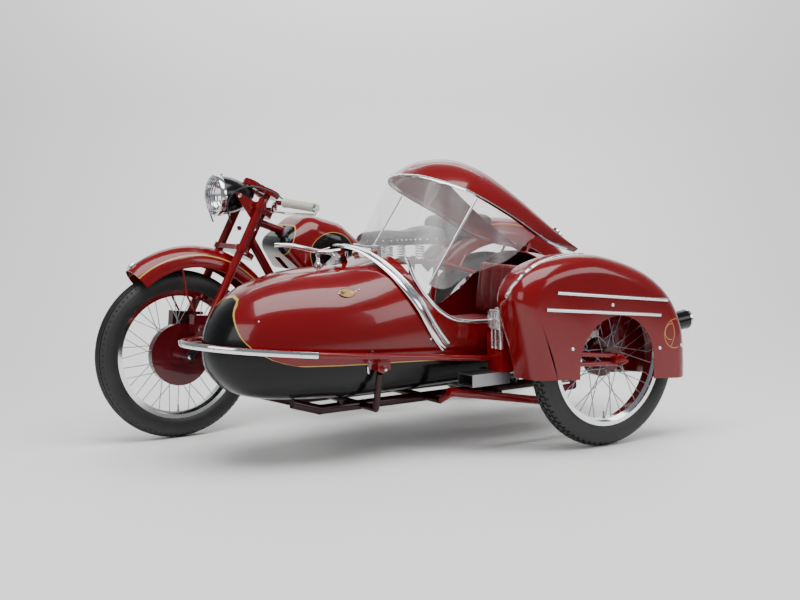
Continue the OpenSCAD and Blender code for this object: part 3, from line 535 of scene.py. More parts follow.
def path(points, upward):
    """Stations along points, with one upward direction or one for each point."""
    result = []
    for i, p in enumerate(points):
        ahead, behind = points[min(i + 1, len(points) - 1)], points[max(i - 1, 0)]
        result.append((p, Vector(ahead) - Vector(behind),
                       upward[i] if isinstance(upward, list) else upward))
    return result


def ring_section(radius, sides=12):
    return [(radius * math.cos(math.tau * i / sides), radius * math.sin(math.tau * i / sides))
            for i in range(sides)]


def curve_through(points, steps):
    """Evenly many points on a smooth curve through a short list."""
    count = len(points) - 1
    result = []
    for k in range(steps + 1):
        u = min(k / steps * count, count - 1e-6)
        i = int(u)
        t = u - i
        a, b, c, d = (Vector(points[max(i - 1, 0)]), Vector(points[i]),
                      Vector(points[i + 1]), Vector(points[min(i + 2, count)]))
        result.append(0.5 * (2 * b + (c - a) * t + (2 * a - 5 * b + 4 * c - d) * t * t
                             + (3 * b - a - 3 * c + d) * t * t * t))
    return result


def add(name, shape, material, body, sharp=35, stands_for=(), bevel=0.0):
    """Turns a finished bmesh into a piece that rides on a body."""
    bmesh.ops.recalc_face_normals(shape, faces=shape.faces)
    for face in shape.faces:
        face.smooth = True
    for edge in shape.edges:
        if len(edge.link_faces) == 2:
            edge.smooth = edge.calc_face_angle(0.0) < math.radians(sharp)
    mesh = bpy.data.meshes.new(name)
    shape.to_mesh(mesh)
    shape.free()
    mesh.materials.append(material)
    piece = bpy.data.objects.new(name, mesh)
    bpy.context.scene.collection.objects.link(piece)
    if bevel:
        rounding = piece.modifiers.new("edges", "BEVEL")
        rounding.width, rounding.segments, rounding.limit_method = bevel, 2, "ANGLE"
    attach(piece, body)
    if stands_for:
        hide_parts(*stands_for)
    return piece


def block(shape, low, high, round_by=0.0, segments=3):
    """A box between two corners in the frame, with its edges rounded."""
    made = bmesh.ops.create_cube(shape, size=1.0)["verts"]
    low, high = Vector(low), Vector(high)
    bmesh.ops.scale(shape, vec=high - low, verts=made)
    bmesh.ops.translate(shape, vec=(high + low) / 2, verts=made)
    if round_by:
        edges = list({e for v in made for e in v.link_edges})
        rounded = bmesh.ops.bevel(shape, geom=edges, offset=round_by, offset_type="OFFSET",
                                  segments=segments, profile=0.5, affect="EDGES", material=-1)
        made = list({v for f in rounded["faces"] for v in f.verts} | {v for v in made
                                                                     if v.is_valid})
    return made


print("shape helpers ready")

# %% [markdown]
# ## Tyres
#
# The two cycle tyres have a ribbed tread and the sidecar's has blocks. A rib is part of the
# turned outline. Blocks are cut from one small cube that is copied round the wheel.

# %% Tyres with tread
TYRE_R, TYRE_W, BEAD = 0.3315, 0.092, 0.2465


def tyre_edge(angles, cut):
    """A tyre's outline: cut gives how deep the tread is cut at an angle from its middle."""
    half, r0 = TYRE_W / 2, TYRE_R - TYRE_W / 2
    edge = []
    for angle in angles:
        rad = math.radians(angle)
        out = half - cut(angle) + (0.0008 if 62 < abs(angle) < 68 else 0.0)
        if r0 + out * math.cos(rad) > BEAD + 0.006:
            edge.append((r0 + out * math.cos(rad), out * math.sin(rad)))
    foot = 0.031
    return [(BEAD, -0.024), (BEAD, -foot + 0.001), (BEAD + 0.008, -foot)] + edge + \
        [(BEAD + 0.008, foot), (BEAD, foot - 0.001), (BEAD, 0.024)]


EVEN = [k * 4.6 for k in range(-30, 31)]
GROOVES = (-24, -14, -5, 5, 14, 24)
RIBBED = sorted({round(angle, 3) for angle in EVEN}
                | {round(math.degrees(math.asin((g + s) / 46.0)), 3)
                   for g in GROOVES for s in (-1.7, -1.2, 1.2, 1.7)})


def ribbed_cut(angle):
    across = 46.0 * math.sin(math.radians(angle))
    return 0.004 if abs(angle) < 60 and any(abs(across - g) < 1.3 for g in GROOVES) else 0.0


def block_cut(angle):
    return 0.006 if abs(angle) < 42 else 0.0


def around(shape, made, centre, axis, count):
    """Copies what was made round an axis, so that there are count of them."""
    geom = list({f for v in made for f in v.link_faces})
    bmesh.ops.spin(shape, geom=geom, cent=centre, axis=axis, dvec=(0, 0, 0),
                   angle=math.tau * (count - 1) / count, steps=count - 1, use_duplicate=True)


for name, x, y, body in (("front", 0, 0, "front_wheel"), ("rear", REAR_X, 0, "rear_wheel")):
    shape = bmesh.new()
    hub_point = spot(x, y, 331.5)
    turned(shape, tyre_edge(RIBBED, ribbed_cut), hub_point, (0, 1, 0), 120)
    for sign in (-1, 1):
        made = block(shape, hub_point + Vector((-0.0016, sign * 0.0335 - 0.004, 0.3115)),
                     hub_point + Vector((0.0016, sign * 0.0335 + 0.004, 0.3205)))
        around(shape, made, hub_point, (0, 1, 0), 88)
    add(name + "_ribbed_tyre", shape, tyre_rubber, body, 30, [name + "_tyre"])
shape = bmesh.new()
hub_point = spot(CAR_X, CAR_Y, 331.5)
turned(shape, tyre_edge(EVEN, block_cut), hub_point, (0, 1, 0), 96)
for across, lean, shift in ((0.0, 0, 0.0), (0.0165, 20, 0.5), (-0.0165, -20, 0.5),
                            (0.0305, 41, 0.0), (-0.0305, -41, 0.0)):
    rad = math.radians(lean)
    made = block(shape, (-0.0095, -0.0062, -0.007), (0.0095, 0.0062, 0.0), 0.0012, 1)
    place = Matrix.Translation(hub_point) @ \
        Matrix.Rotation(math.tau / 72 * shift, 4, "Y") @ \
        Matrix.Translation((0, 0, TYRE_R - TYRE_W / 2)) @ \
        Matrix.Rotation(-rad, 4, "X") @ Matrix.Translation((0, 0, TYRE_W / 2 - 0.0002))
    bmesh.ops.transform(shape, matrix=place, verts=made)
    around(shape, made, hub_point, (0, 1, 0), 72)
add("sidecar_block_tyre", shape, tyre_rubber, "sidecar_wheel", 30, ["sidecar_tyre"])
for node in ("front_tyre", "rear_tyre", "sidecar_tyre"):
    bpy.data.objects.remove(skins.pop(node))
print("tyres made")

# %% [markdown]
# ## Spoke nipples and valves
#
# Each spoke ends in a small nipple in the rim. One is made and copied round the wheel.

# %% Nipples and valve
for name, x, y, body in (("front", 0, 0, "front_wheel"), ("rear", REAR_X, 0, "rear_wheel"),
                         ("sidecar", CAR_X, CAR_Y, "sidecar_wheel")):
    shape = bmesh.new()
    hub_point = spot(x, y, 331.5)
    for turn_by in (0, 10):
        made = turned(shape, [(0.0, -0.010), (0.0022, -0.009), (0.0026, -0.002), (0.004, 0.0),
                              (0.0042, 0.003)],
                      (0, (0.006 if turn_by else -0.006), 0.2385), (0, 0, 1), 8)
        place = Matrix.Translation(hub_point) @ Matrix.Rotation(math.radians(turn_by + 90), 4, "Y")
        bmesh.ops.transform(shape, matrix=place, verts=made)
        around(shape, made, hub_point, (0, 1, 0), 18)
    turned(shape, [(0, -0.034), (0.0035, -0.034), (0.0035, -0.012), (0.0048, -0.012),
                   (0.0048, 0.004)], hub_point + Vector((0.0, 0.0, -0.2385)), (0, 0, -1), 12)
    add(name + "_nipples", shape, steel, body)
print("nipples made")

# %% [markdown]
# ## The engine
#
# An air-cooled engine shows its fins. Each fin is a thin plate with rounded corners, and the
# pile of them stands round a plain core. The crankcase is a rounded casting with turned covers.

# %% Barrel, head and crankcase
shape = bmesh.new()
turned(shape, [(0, 0), (0.056, 0), (0.058, 0.004), (0.058, 0.136), (0, 0.136)],
       spot(-802, 0, 400), (0, 0, 1), 40)
for k in range(8):
    z = 406 + k * 16.5
    block(shape, spot(-884, -78, z), spot(-720, 78, z + 3.6), 0.0016, 1)
for k in range(4):
    z = 541 + k * 15
    block(shape, spot(-908, -90, z), spot(-696, 90, z + 4.5), 0.002, 2)
block(shape, spot(-862, -62, 538), spot(-742, 62, 602), 0.01, 3)
turned(shape, [(0, 0), (0.009, 0), (0.009, 0.018), (0.006, 0.022), (0, 0.022)],
       spot(-760, 66, 588), (0, 0.5, 1), 6)
add("finned_barrel", shape, bright_alloy, "machine", 30, ["cylinder"])
shape = bmesh.new()
block(shape, spot(-850, -58, 602), spot(-754, 58, 621), 0.008, 3)
for dx in (-40, 0, 40):
    for dy in (-48, 48):
        turned(shape, [(0.0, 0), (0.0055, 0), (0.0055, 0.004), (0.003, 0.0055), (0, 0.0055)],
               spot(-802 + dx, dy, 620), (0, 0, 1), 6)
add("rocker_cover", shape, bright_alloy, "machine")

shape = bmesh.new()
block(shape, spot(-928, -72, 226), spot(-643, 72, 398), 0.022, 4)
for sign in (-1, 1):
    turned(shape, [(0, 0), (0.088, 0), (0.09, 0.004), (0.09, 0.020), (0.082, 0.028),
                   (0.058, 0.028), (0.054, 0.032), (0.03, 0.032), (0.027, 0.029), (0, 0.029)],
           spot(-782, sign * 70, 300), (0, sign, 0), 64)
    turned(shape, [(0, 0), (0.052, 0), (0.054, 0.003), (0.054, 0.014), (0.048, 0.02), (0, 0.02)],
           spot(-698, sign * 70, 290), (0, sign, 0), 48)
    for k in range(8):
        angle = math.tau * k / 8 + 0.2
        turned(shape, [(0.0, 0), (0.0048, 0), (0.0048, 0.003), (0.0036, 0.0042), (0, 0.0042)],
               spot(-782 + 76 * math.cos(angle), sign * 97.5, 300 + 76 * math.sin(angle)),
               (0, sign, 0), 8)
add("engine_case", shape, alloy, "machine", 30, ["crankcase"])
print("engine made")

# %% [markdown]
# ## Lamp, bars and controls
#
# The headlamp has a chrome rim, a silvered bowl behind ribbed glass and a small bulb. Grips
# are ribbed rubber, and the steering dampers are fluted hand wheels.

# %% Headlamp
lens_low, lens_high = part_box("headlamp_lens")
lamp_low, lamp_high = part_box("headlamp")
lamp_centre = Vector((lens_low.x, (lamp_low.y + lamp_high.y) / 2, (lens_low.z + lens_high.z) / 2))
print("lamp lens", [round(v, 4) for v in lens_low], [round(v, 4) for v in lens_high])
shape = bmesh.new()
front = lamp_high.x
turned(shape, [(0.0705, -0.014), (0.0815, -0.018), (0.0832, -0.012), (0.0832, -0.001),
               (0.0815, 0.0035), (0.0765, 0.0065), (0.0725, 0.0055), (0.0705, 0.001)],
       Vector((front, lamp_centre.y, lamp_centre.z)), (1, 0, 0), 96)
turned(shape, [(0, 0), (0.0035, 0), (0.0035, 0.004), (0.006, 0.005), (0.006, 0.009), (0, 0.010)],
       Vector((front - 0.03, lamp_centre.y, lamp_centre.z + 0.0775)), (-0.3, 0, 1), 16)
add("lamp_rim", shape, chrome, "steering")
shape = bmesh.new()
turned(shape, [(0.0700, 0.0), (0.066, -0.016), (0.055, -0.034), (0.038, -0.048),
               (0.018, -0.055), (0.0, -0.057)],
       Vector((lens_low.x - 0.002, lamp_centre.y, lamp_centre.z)), (1, 0, 0), 64)
add("lamp_bowl", shape, chrome, "steering")
shape = bmesh.new()
turned(shape, [(0, 0), (0.006, 0), (0.007, 0.012), (0.009, 0.02), (0.007, 0.03), (0, 0.034)],
       Vector((lens_low.x - 0.058, lamp_centre.y, lamp_centre.z)), (1, 0, 0), 24)
add("lamp_bulb", shape, lamp_glass, "steering")
nodes["headlamp_lens"].data.materials.clear()
nodes["headlamp_lens"].data.materials.append(lamp_glass)

# %% Grips, knobs and nuts
shape = bmesh.new()
for sign in (-1, 1):
    near, far = spot(-368, sign * 250, 918), spot(-429, sign * 380, 899)
    along_grip = (far - near).normalized()
    length = (far - near).length
    edge = [(0.0126, -0.004), (0.0185, -0.004), (0.0195, -0.001), (0.0195, 0.004)]
    for k in range(22):
        at = 0.006 + k * (length - 0.012) / 22
        step = (length - 0.012) / 22
        edge += [(0.0172, at), (0.0172, at + step * 0.62), (0.0162, at + step * 0.68),
                 (0.0162, at + step * 0.94)]
    edge += [(0.0182, length - 0.005), (0.0182, length - 0.001), (0.0126, length)]
    turned(shape, edge, near, along_grip, 32)
add("ribbed_grips", shape, grip_rubber, "steering", 50, ["grips"])

AXIS = Vector((-math.sin(math.radians(28)), 0, math.cos(math.radians(28))))
FORE = Vector((math.cos(math.radians(28)), 0, math.sin(math.radians(28))))


def on_head(a, y, h):
    """A point of the steering head: a ahead of the axis, y to the side, h up the axis."""
    return spot(82, y, 0) + (a * FORE + h * AXIS) / 1000


shape = bmesh.new()
for a, h, radius in ((0, 1065.5, 0.0475), (84, 1065.5, 0.0355), (40, 1068, 0.030)):
    flutes = 26 if radius > 0.04 else 20
    ring = bmesh.ops.create_circle(shape, segments=flutes * 4, radius=radius)["verts"]
    for k, v in enumerate(ring):
        if k % 4 < 2:
            v.co *= 0.93
    cap = bmesh.ops.contextual_create(shape, geom=ring)["faces"]
    up_faces = bmesh.ops.extrude_face_region(shape, geom=cap)["geom"]
    lifted = [v for v in up_faces if isinstance(v, bmesh.types.BMVert)]
    bmesh.ops.translate(shape, vec=(0, 0, 0.019), verts=lifted)
    made = ring + lifted
    bmesh.ops.transform(shape, verts=made,
                        matrix=Matrix.Translation(on_head(a, 0, h)) @ standing(AXIS))
    turned(shape, [(radius * 0.86, 0.019), (radius * 0.8, 0.023), (radius * 0.3, 0.024),
                   (radius * 0.26, 0.028), (0, 0.029)], on_head(a, 0, h), AXIS, 48)
add("damper_hand_wheels", shape, red_paint, "steering", 30)
shape = bmesh.new()
for sign in (-1, 1):
    turned(shape, [(0, 0), (0.014, 0), (0.014, 0.012), (0.011, 0.015), (0, 0.016)],
           on_head(55, sign * 100, 1003), AXIS, 6)
    turned(shape, [(0, 0), (0.009, 0), (0.009, 0.006), (0.006, 0.009), (0, 0.0095)],
           spot(-250, sign * 91, 948), (0, sign, 0), 6)
    turned(shape, [(0, 0), (0.0105, 0), (0.0105, 0.008), (0.008, 0.011), (0, 0.0115)],
           on_head(26, sign * 62, 905), (0, sign, 0), 6)
add("head_nuts", shape, chrome, "steering", 25)
print("head and bars made")

# %% [markdown]
# ## Springs under the saddle
#
# A coil spring is a small circle that is spun five times round an axis while it climbs. The
# spin operator does both when it is given a step along the axis.


# %% Coil springs
def coil(shape, low, radius, height, turns, wire_r):
    steps = turns * 20
    ring = bmesh.ops.create_circle(shape, segments=8, radius=wire_r)["verts"]
    bmesh.ops.rotate(shape, verts=ring, cent=(0, 0, 0), matrix=Matrix.Rotation(math.pi / 2, 3, "X"))
    bmesh.ops.translate(shape, verts=ring, vec=(radius, 0, wire_r))
    edges = list({e for v in ring for e in v.link_edges})
    before = set(shape.verts) - set(ring)
    bmesh.ops.spin(shape, geom=ring + edges, cent=(0, 0, 0), axis=(0, 0, 1),
                   dvec=(0, 0, (height - 2 * wire_r) / steps), angle=math.tau * turns,
                   steps=steps)
    made = [v for v in shape.verts if v not in before]
    bmesh.ops.translate(shape, verts=made, vec=low)


shape = bmesh.new()
for node_x, node_y, radius in ((-1110, 73, 0.019), (-985, 26, 0.0145)):
    for sign in (-1, 1):
        coil(shape, spot(node_x, sign * node_y, 652), radius, 0.061, 5, 0.0028)
        turned(shape, [(0, 0), (radius + 0.003, 0), (radius + 0.003, 0.003), (0, 0.003)],
               spot(node_x, sign * node_y, 651.4), (0, 0, 1), 24)
add("coil_springs", shape, chrome, "machine", 50, ["saddle_springs"])
print("springs made")

# %% [markdown]
# ## Bright trim on the sidecar
#
# Chrome bands follow the body's skin. Their lines are drawn roughly and then each point is
# moved to the nearest place on the skin, whose normal also tells which way is up.

# %% Snap to a skin
trees = {}


def on_skin(node, point, lift=0.0):
    """The nearest point of a CAD skin, and the direction out of the body there."""
    if node not in trees:
        mesh = skins[node].data
        trees[node] = BVHTree.FromPolygons([v.co for v in mesh.vertices],
                                           [p.vertices[:] for p in mesh.polygons])
    place, normal, _, _ = trees[node].find_nearest(point)
    if normal.dot(Vector(point) - place) < 0 and (Vector(point) - place).length > 0.001:
        normal = -normal
    return place + normal * lift, normal


def mirrored(point):
    """The same point on the sidecar's other side."""
    return Vector((point.x, 2 * spot(0, 620, 0).y - point.y, point.z))


body_axis = spot(0, 620, 427)


def outward(p):
    """Away from the sidecar's long axis."""
    return Vector((0, p.y - body_axis.y, p.z - body_axis.z)).normalized()


# %% The hoop over the cowl
near_side = [spot(*p) for p in ((-673, 904, 403), (-631, 909, 450), (-598, 905, 505),
                                (-564, 895, 566), (-530, 866, 622), (-502, 820, 672),
                                (-472, 762, 717), (-440, 695, 750), (-404, 620, 764))]
hoop = curve_through(near_side + [mirrored(p) for p in near_side[-2::-1]], 96)
hoop = [p + outward(p) * 0.002 for p in hoop]
ups = [outward(p) for p in hoop]
broad = [(-0.028, -0.001), (-0.0275, 0.003), (-0.023, 0.0056), (-0.013, 0.0068),
         (-0.004, 0.006), (0.002, 0.0038), (0.0035, 0.0022), (0.0038, -0.001)]
thin = [(0.0052 + 0.0062 * (1 + math.cos(a)), -0.001 + 0.0062 * math.sin(a) + 0.0006)
        for a in [math.pi * k / 6 for k in range(6, -1, -1)]]
shape = bmesh.new()
swept(shape, broad, path(hoop, ups))
swept(shape, thin, path(hoop, ups))
add("cowl_hoop", shape, chrome, "machine", 60)
shape = bmesh.new()
swept(shape, [(0.0034, -0.0012), (0.0034, 0.0014), (0.0056, 0.0014), (0.0056, -0.0012)],
      path(hoop, ups))
add("hoop_groove", shape, black_rubber, "machine")

# %% The cockpit's bright edge
edge_line = [(-549, 722), (-556, 690), (-572, 632), (-612, 566), (-664, 516), (-722, 488),
             (-790, 476), (-865, 473)]
shape = bmesh.new()
for sign in (1, -1):
    line = []
    for x, z in edge_line:
        place, normal = on_skin("sidecar_body", spot(x, 620 + sign * 300, z))
        place.x, place.z = spot(x, 0, z).x, z / 1000
        line.append(place + Vector((0, -sign * 0.002, 0.003)))
    line = curve_through(line, 56)
    swept(shape, ring_section(0.0075, 10), path(line, Vector((0, sign, 0.01))))
add("cockpit_edge", shape, chrome, "machine", 60)

# %% The visor's edge strip and rivets
roof_points = [(-655, 0, 1017), (-682, .42, 1011), (-745, .82, 982), (-835, 1, 940),
               (-1000, 1, 855), (-1180, .96, 754), (-1352, .78, 706)]
crest_points = [(-830, 0, 1078), (-848, .2, 1076), (-885, .4, 1062), (-950, .6, 1022),
                (-1062, .74, 938), (-1205, .8, 828), (-1362, .76, 716)]
middle = spot(-900, 620, 500)
shape = bmesh.new()
rivets = bmesh.new()
for sign in (1, -1):
    rim = curve_through([spot(x, 620 + sign * 250 * s, z) for x, s, z in roof_points], 60)
    crest = curve_through([spot(x, 620 + sign * 250 * s, z) for x, s, z in crest_points], 60)
    flat = [((c - r).normalized(), (r - middle).normalized()) for r, c in zip(rim, crest)]
    strip = [r + f[0] * 0.007 + f[1] * 0.0022 for r, f in zip(rim, flat)][:57]
    swept(shape, [(-0.008, -0.0042), (-0.008, 0.0008), (-0.006, 0.0022), (0.006, 0.0022),
                  (0.008, 0.0008), (0.008, -0.0042)], path(strip, [f[1] for f in flat]))
    for k in range(3, 55, 5):
        turned(rivets, [(0.0, 0.0018), (0.0016, 0.0014), (0.0026, 0.0), (0.0026, -0.001),
                        (0.0, -0.001)][::-1], strip[k] + flat[k][1] * 0.0026, flat[k][1], 8)
add("visor_strip", shape, chrome, "canopy", 40)
add("visor_rivets", rivets, steel, "canopy")

# %% Wing ornament, plate and small screws
shape = bmesh.new()
turned(shape, [(0, -0.012), (0.017, -0.012), (0.018, -0.006), (0.012, 0.0), (0.0075, 0.008),
               (0.0065, 0.022), (0.009, 0.030), (0, 0.034)], spot(-304, 620, 706), (0, 0, 1), 32)
wing_line = curve_through([spot(-372, 620, 734), spot(-345, 620, 744), spot(-300, 620, 750),
                           spot(-245, 620, 764), spot(-190, 620, 776), spot(-128, 620, 779)], 24)
stations = path(wing_line, Vector((0, 0, 1)))
oval = [(math.cos(math.tau * k / 16), math.sin(math.tau * k / 16)) for k in range(16)]
swept(shape, [(0.016 * a, 0.008 * b) for a, b in oval], stations)
for v in shape.verts:
    share = (v.co.x - wing_line[0].x) / (wing_line[-1].x - wing_line[0].x)
    if v.co.z > 0.7285:
        width = 0.25 + 1.25 * math.sin(math.pi * min(max(share, 0), 1) ** 0.6)
        width *= 1.0 - 0.55 * max(share - 0.6, 0) / 0.4
        v.co.y = body_axis.y + (v.co.y - body_axis.y) * width
for sign in (-1, 1):
    feather = curve_through([spot(-372, 620 + sign * 44, 756), spot(-338, 620 + sign * 30, 752),
                             spot(-290, 620 + sign * 12, 753), spot(-250, 620 + sign * 4, 764)], 12)
    swept(shape, [(0.011 * a, 0.0026 * b) for a, b in oval],
          path(feather, Vector((0, 0.2 * sign, 1))))
add("wing_ornament", shape, chrome, "machine", 40)
shape = bmesh.new()
plate_at, plate_up = on_skin("sidecar_body", spot(-290, 900, 660))
plate = turned(shape, [(0, 0), (0.0245, 0), (0.0262, 0.0008), (0.0262, 0.0022),
                       (0.0235, 0.003), (0.0225, 0.0022), (0, 0.0024)], (0, 0, 0), (0, 0, 1), 48)
bmesh.ops.scale(shape, vec=(1.25, 0.78, 1.0), verts=plate)
facing = Matrix((Vector((1, 0, 0)), plate_up.cross(Vector((1, 0, 0))), plate_up)).transposed()
bmesh.ops.transform(shape, verts=plate, matrix=Matrix.Translation(plate_at) @ facing.to_4x4())
add("oval_plate", shape, bronze, "machine")
shape = bmesh.new()
for x, y, z in ((-322, 900, 662), (-258, 900, 660), (-337, 900, 668), (-604, 925, 431),
                (28, 792, 532)):
    place, normal = on_skin("sidecar_body", spot(x, y, z))
    size = 0.006 if z == 431 else 0.003
    turned(shape, [(0, -0.001), (size, -0.001), (size * 0.9, size * 0.6), (size * 0.5, size * 0.9),
                   (0, size)], place, normal, 12)
wedge = [spot(-352, 620, 700), spot(-412, 620, 708), spot(-398, 620, 742)]
corners = [shape.verts.new(p + Vector((0, -0.030, 0))) for p in wedge]
front_face = shape.faces.new(corners)
pushed = bmesh.ops.extrude_face_region(shape, geom=[front_face])["geom"]
bmesh.ops.translate(shape, vec=(0, 0.06, 0),
                    verts=[v for v in pushed if isinstance(v, bmesh.types.BMVert)])
add("body_screws", shape, chrome, "machine", 30)

# %% The bumper rail's strip, clamps and cone bolts
rail = curve_through([spot(y[0], y[1], y[2]) for y in
                      ((-832, 950, 345), (-526, 952, 377), (-300, 948, 400), (-105, 930, 420),
                       (60, 880, 438), (170, 790, 449), (222, 690, 454), (225, 600, 453),
                       (180, 500, 447), (80, 410, 436), (-60, 360, 421), (-190, 336, 408))], 132)
front_part = [p for p in rail if p.x > spot(-128, 0, 0).x and p.y > spot(0, 560, 0).y]
ways = []
for i, p in enumerate(front_part):
    ahead = front_part[min(i + 1, len(front_part) - 1)] - front_part[max(i - 1, 0)]
    out = ahead.cross(Vector((0, 0, 1))).normalized()
    if out.dot(p - spot(-200, 620, 430)) < 0:
        out = -out
    ways.append(out)
strip = [p + w * 0.0095 for p, w in zip(front_part, ways)]
shape = bmesh.new()
swept(shape, [(-0.0105, -0.003), (-0.0105, 0.0015), (-0.006, 0.0042), (0.006, 0.0042),
              (0.0105, 0.0015), (0.0105, -0.003)], path(strip, ways))
add("rail_strip", shape, chrome, "machine", 40)
shape = bmesh.new()
for k in (4, len(strip) // 3, len(strip) // 2, 2 * len(strip) // 3, len(strip) - 3):
    turned(shape, [(0, -0.001), (0.0032, -0.001), (0.0028, 0.0012), (0, 0.0018)],
           strip[k] + ways[k] * 0.004, ways[k], 12)
add("rail_rivets", shape, steel, "machine")
shape = bmesh.new()
block(shape, spot(-398, 905, 338), spot(-356, 946, 372), 0.006, 3)
turned(shape, [(0, 0), (0.019, 0), (0.02, 0.004), (0.02, 0.022), (0.016, 0.026), (0, 0.026)],
       spot(-377, 920, 352), (0, 1, 0), 32)
add("rail_clamp", shape, red_paint, "machine", 30)
shape = bmesh.new()
turned(shape, [(0, 0), (0.0125, 0), (0.0125, 0.006), (0.0105, 0.012), (0.0075, 0.030),
               (0.0045, 0.036), (0, 0.037)], spot(-377, 945, 352), (0.35, 1, -0.05), 20)
guard_at, guard_up = on_skin("sidecar_body", spot(-350, 930, 360))
shield = bmesh.ops.create_circle(shape, segments=32, radius=0.02)["verts"]
face = bmesh.ops.contextual_create(shape, geom=shield)["faces"]
grown = bmesh.ops.extrude_face_region(shape, geom=face)["geom"]
lifted = [v for v in grown if isinstance(v, bmesh.types.BMVert)]
bmesh.ops.translate(shape, vec=(0, 0, 0.004), verts=lifted)
bmesh.ops.scale(shape, vec=(0.62, 2.3, 1), verts=shield + lifted)
facing = Matrix((Vector((1, 0, 0)), guard_up.cross(Vector((1, 0, 0))), guard_up)).transposed()
bmesh.ops.transform(shape, verts=shield + lifted,
                    matrix=Matrix.Translation(guard_at + guard_up * 0.001) @ facing.to_4x4())
add("rail_shield", shape, chrome, "machine", 30)
print("sidecar trim made")

# %% [markdown]
# ## Small trim on the fender, the lamps and the bars
#
# The last details are a side lamp with ribbed glass, a bright band over the fender's crown,
# lenses on the lamps, bolts, and the control cables.

# %% Side lamp
shape = bmesh.new()
block(shape, spot(-848, 975, 458), spot(-812, 1036, 530), 0.006, 3)
block(shape, spot(-844, 998, 530), spot(-822, 1020, 538), 0.003, 2)
for y, width in ((977, 9), (999, 9), (1021, 15)):
    block(shape, spot(-836, y, 386), spot(-818, y + width, 470), 0.003, 2)
add("side_lamp_shell", shape, bright_alloy, "machine", 40, ["side_lamp"])
shape = bmesh.new()
for k in range(4):
    for row in (0, 1):
        turned(shape, [(0, -0.0145), (0.0055, -0.0135), (0.0068, -0.009), (0.0068, 0.009),
                       (0.0055, 0.0135), (0, 0.0145)],
               spot(-811, 982.5 + k * 15.6, 477 + row * 33), (0, 0, 1), 16)
add("side_lamp_ribs", shape, lamp_glass, "machine")

# %% The band over the fender's crown, and its bolts
crown = []
crown_line = curve_through([spot(*p) for p in (
    (-790, 1110, 586), (-804, 1130, 626), (-826, 1145, 654), (-866, 1148, 683),
    (-921, 1141, 706), (-981, 1140, 718), (-1054, 1138, 725), (-1120, 1135, 724))], 48)
for p in crown_line:
    crown.append(on_skin("fender", p, 0.0005))
shape = bmesh.new()
stations = path([p for p, _ in crown], [n for _, n in crown])
swept(shape, [(-0.008, -0.002), (-0.007, 0.002), (-0.003, 0.0042), (0.003, 0.0042),
              (0.007, 0.002), (0.008, -0.002)], stations)
add("crown_band", shape, chrome, "machine", 50)
shape = bmesh.new()
for x, z in ((-1009, 392), (-1198, 538), (-1432, 359), (-1556, 359)):
    place, normal = on_skin("fender", spot(x, 1225, z))
    turned(shape, [(0, -0.002), (0.0068, -0.002), (0.0068, 0.001), (0.0052, 0.0034),
                   (0.0022, 0.0048), (0, 0.005)], place, normal, 16)
tip_at, tip_up = on_skin("front_mudguard", spot(176, 0, 690))
tip_up = tip_up * math.copysign(1, tip_up.z)
forward_way = Vector((0.72, 0, -0.69))
tip = bmesh.new()
turned(tip, [(0, -0.022), (0.0045, -0.016), (0.0075, -0.004), (0.0085, 0.008), (0.006, 0.02),
             (0, 0.026)], tip_at + tip_up * 0.004, forward_way, 20)
add("fender_bolts", shape, chrome, "machine")
add("mudguard_tip", tip, chrome, "steering")

# %% Lenses and rings on the three rear lamps
rear_lamps = ((spot(-1864, 0, 686), 62, 62, 0.040), (spot(-1560, 1110, 425), 84, 130, 0.038),
              (spot(-1560, 1110, 312), 84, 80, 0.034))
lamps_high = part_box("tail_lamps")[1]
rings, lenses = bmesh.new(), bmesh.new()
for foot, tilt, long, radius in rear_lamps:
    way = Vector((-math.sin(math.radians(tilt)), 0, math.cos(math.radians(tilt))))
    if foot.y > cycle_y + 0.5:
        foot.y = lamps_high.y - 0.038
    end = foot + way * (long / 1000 + (0.012 if tilt == 62 else 0.0))
    turned(rings, [(radius - 0.006, 0.001), (radius - 0.002, 0.004), (radius + 0.0008, 0.002),
                   (radius + 0.0008, -0.008), (radius - 0.006, -0.008), (radius - 0.006, 0.001)],
           end, way, 48)
    dome = [((radius - 0.006) * math.cos(a), 0.009 * math.sin(a))
            for a in [math.pi / 2 * k / 6 for k in range(7)]]
    turned(lenses, [(0, -0.001), (radius - 0.006, -0.001)] + dome[1:-1] + [(0, 0.009)],
           end, way, 40)
add("lamp_rings", rings, chrome, "machine", 40)
add("lamp_lenses", lenses, red_glass, "machine")
shape = bmesh.new()
foot, lean = spot(-1864, 0, 686), math.radians(62)
way = Vector((-math.sin(lean), 0, math.cos(lean)))
turned(shape, [(0.0402, 0.012), (0.0408, 0.014), (0.0408, 0.056), (0.0402, 0.058)],
       foot, way, 64)
add("tail_lamp_sleeve", shape, red_paint, "machine")

# %% Control cables on the bars
shape = bmesh.new()
for sign in (-1, 1):
    cable = curve_through([spot(-372, sign * 236, 928), spot(-330, sign * 214, 962),
                           spot(-262, sign * 172, 984), spot(-212, sign * 122, 960),
                           spot(-196, sign * 92, 905), spot(-214, sign * 84, 840)], 40)
    swept(shape, ring_section(0.0032, 8), path(cable, Vector((0, sign, 0.2))))
add("control_cables", shape, black_rubber, "steering", 60)
print("small trim made")

# %% [markdown]
# ## Saddle, pillion pad and sidecar cushions
#
# A cushion is a closed skin with something soft inside. Each starts as a rounded block, is
# remeshed into even small faces, and is blown up a little as cloth with its base held, so
# that the top crowns and the sides pull in between the corners. A cap on how far a point
# may move keeps it in its place. Piping and studs come after, because a remesh removes them.


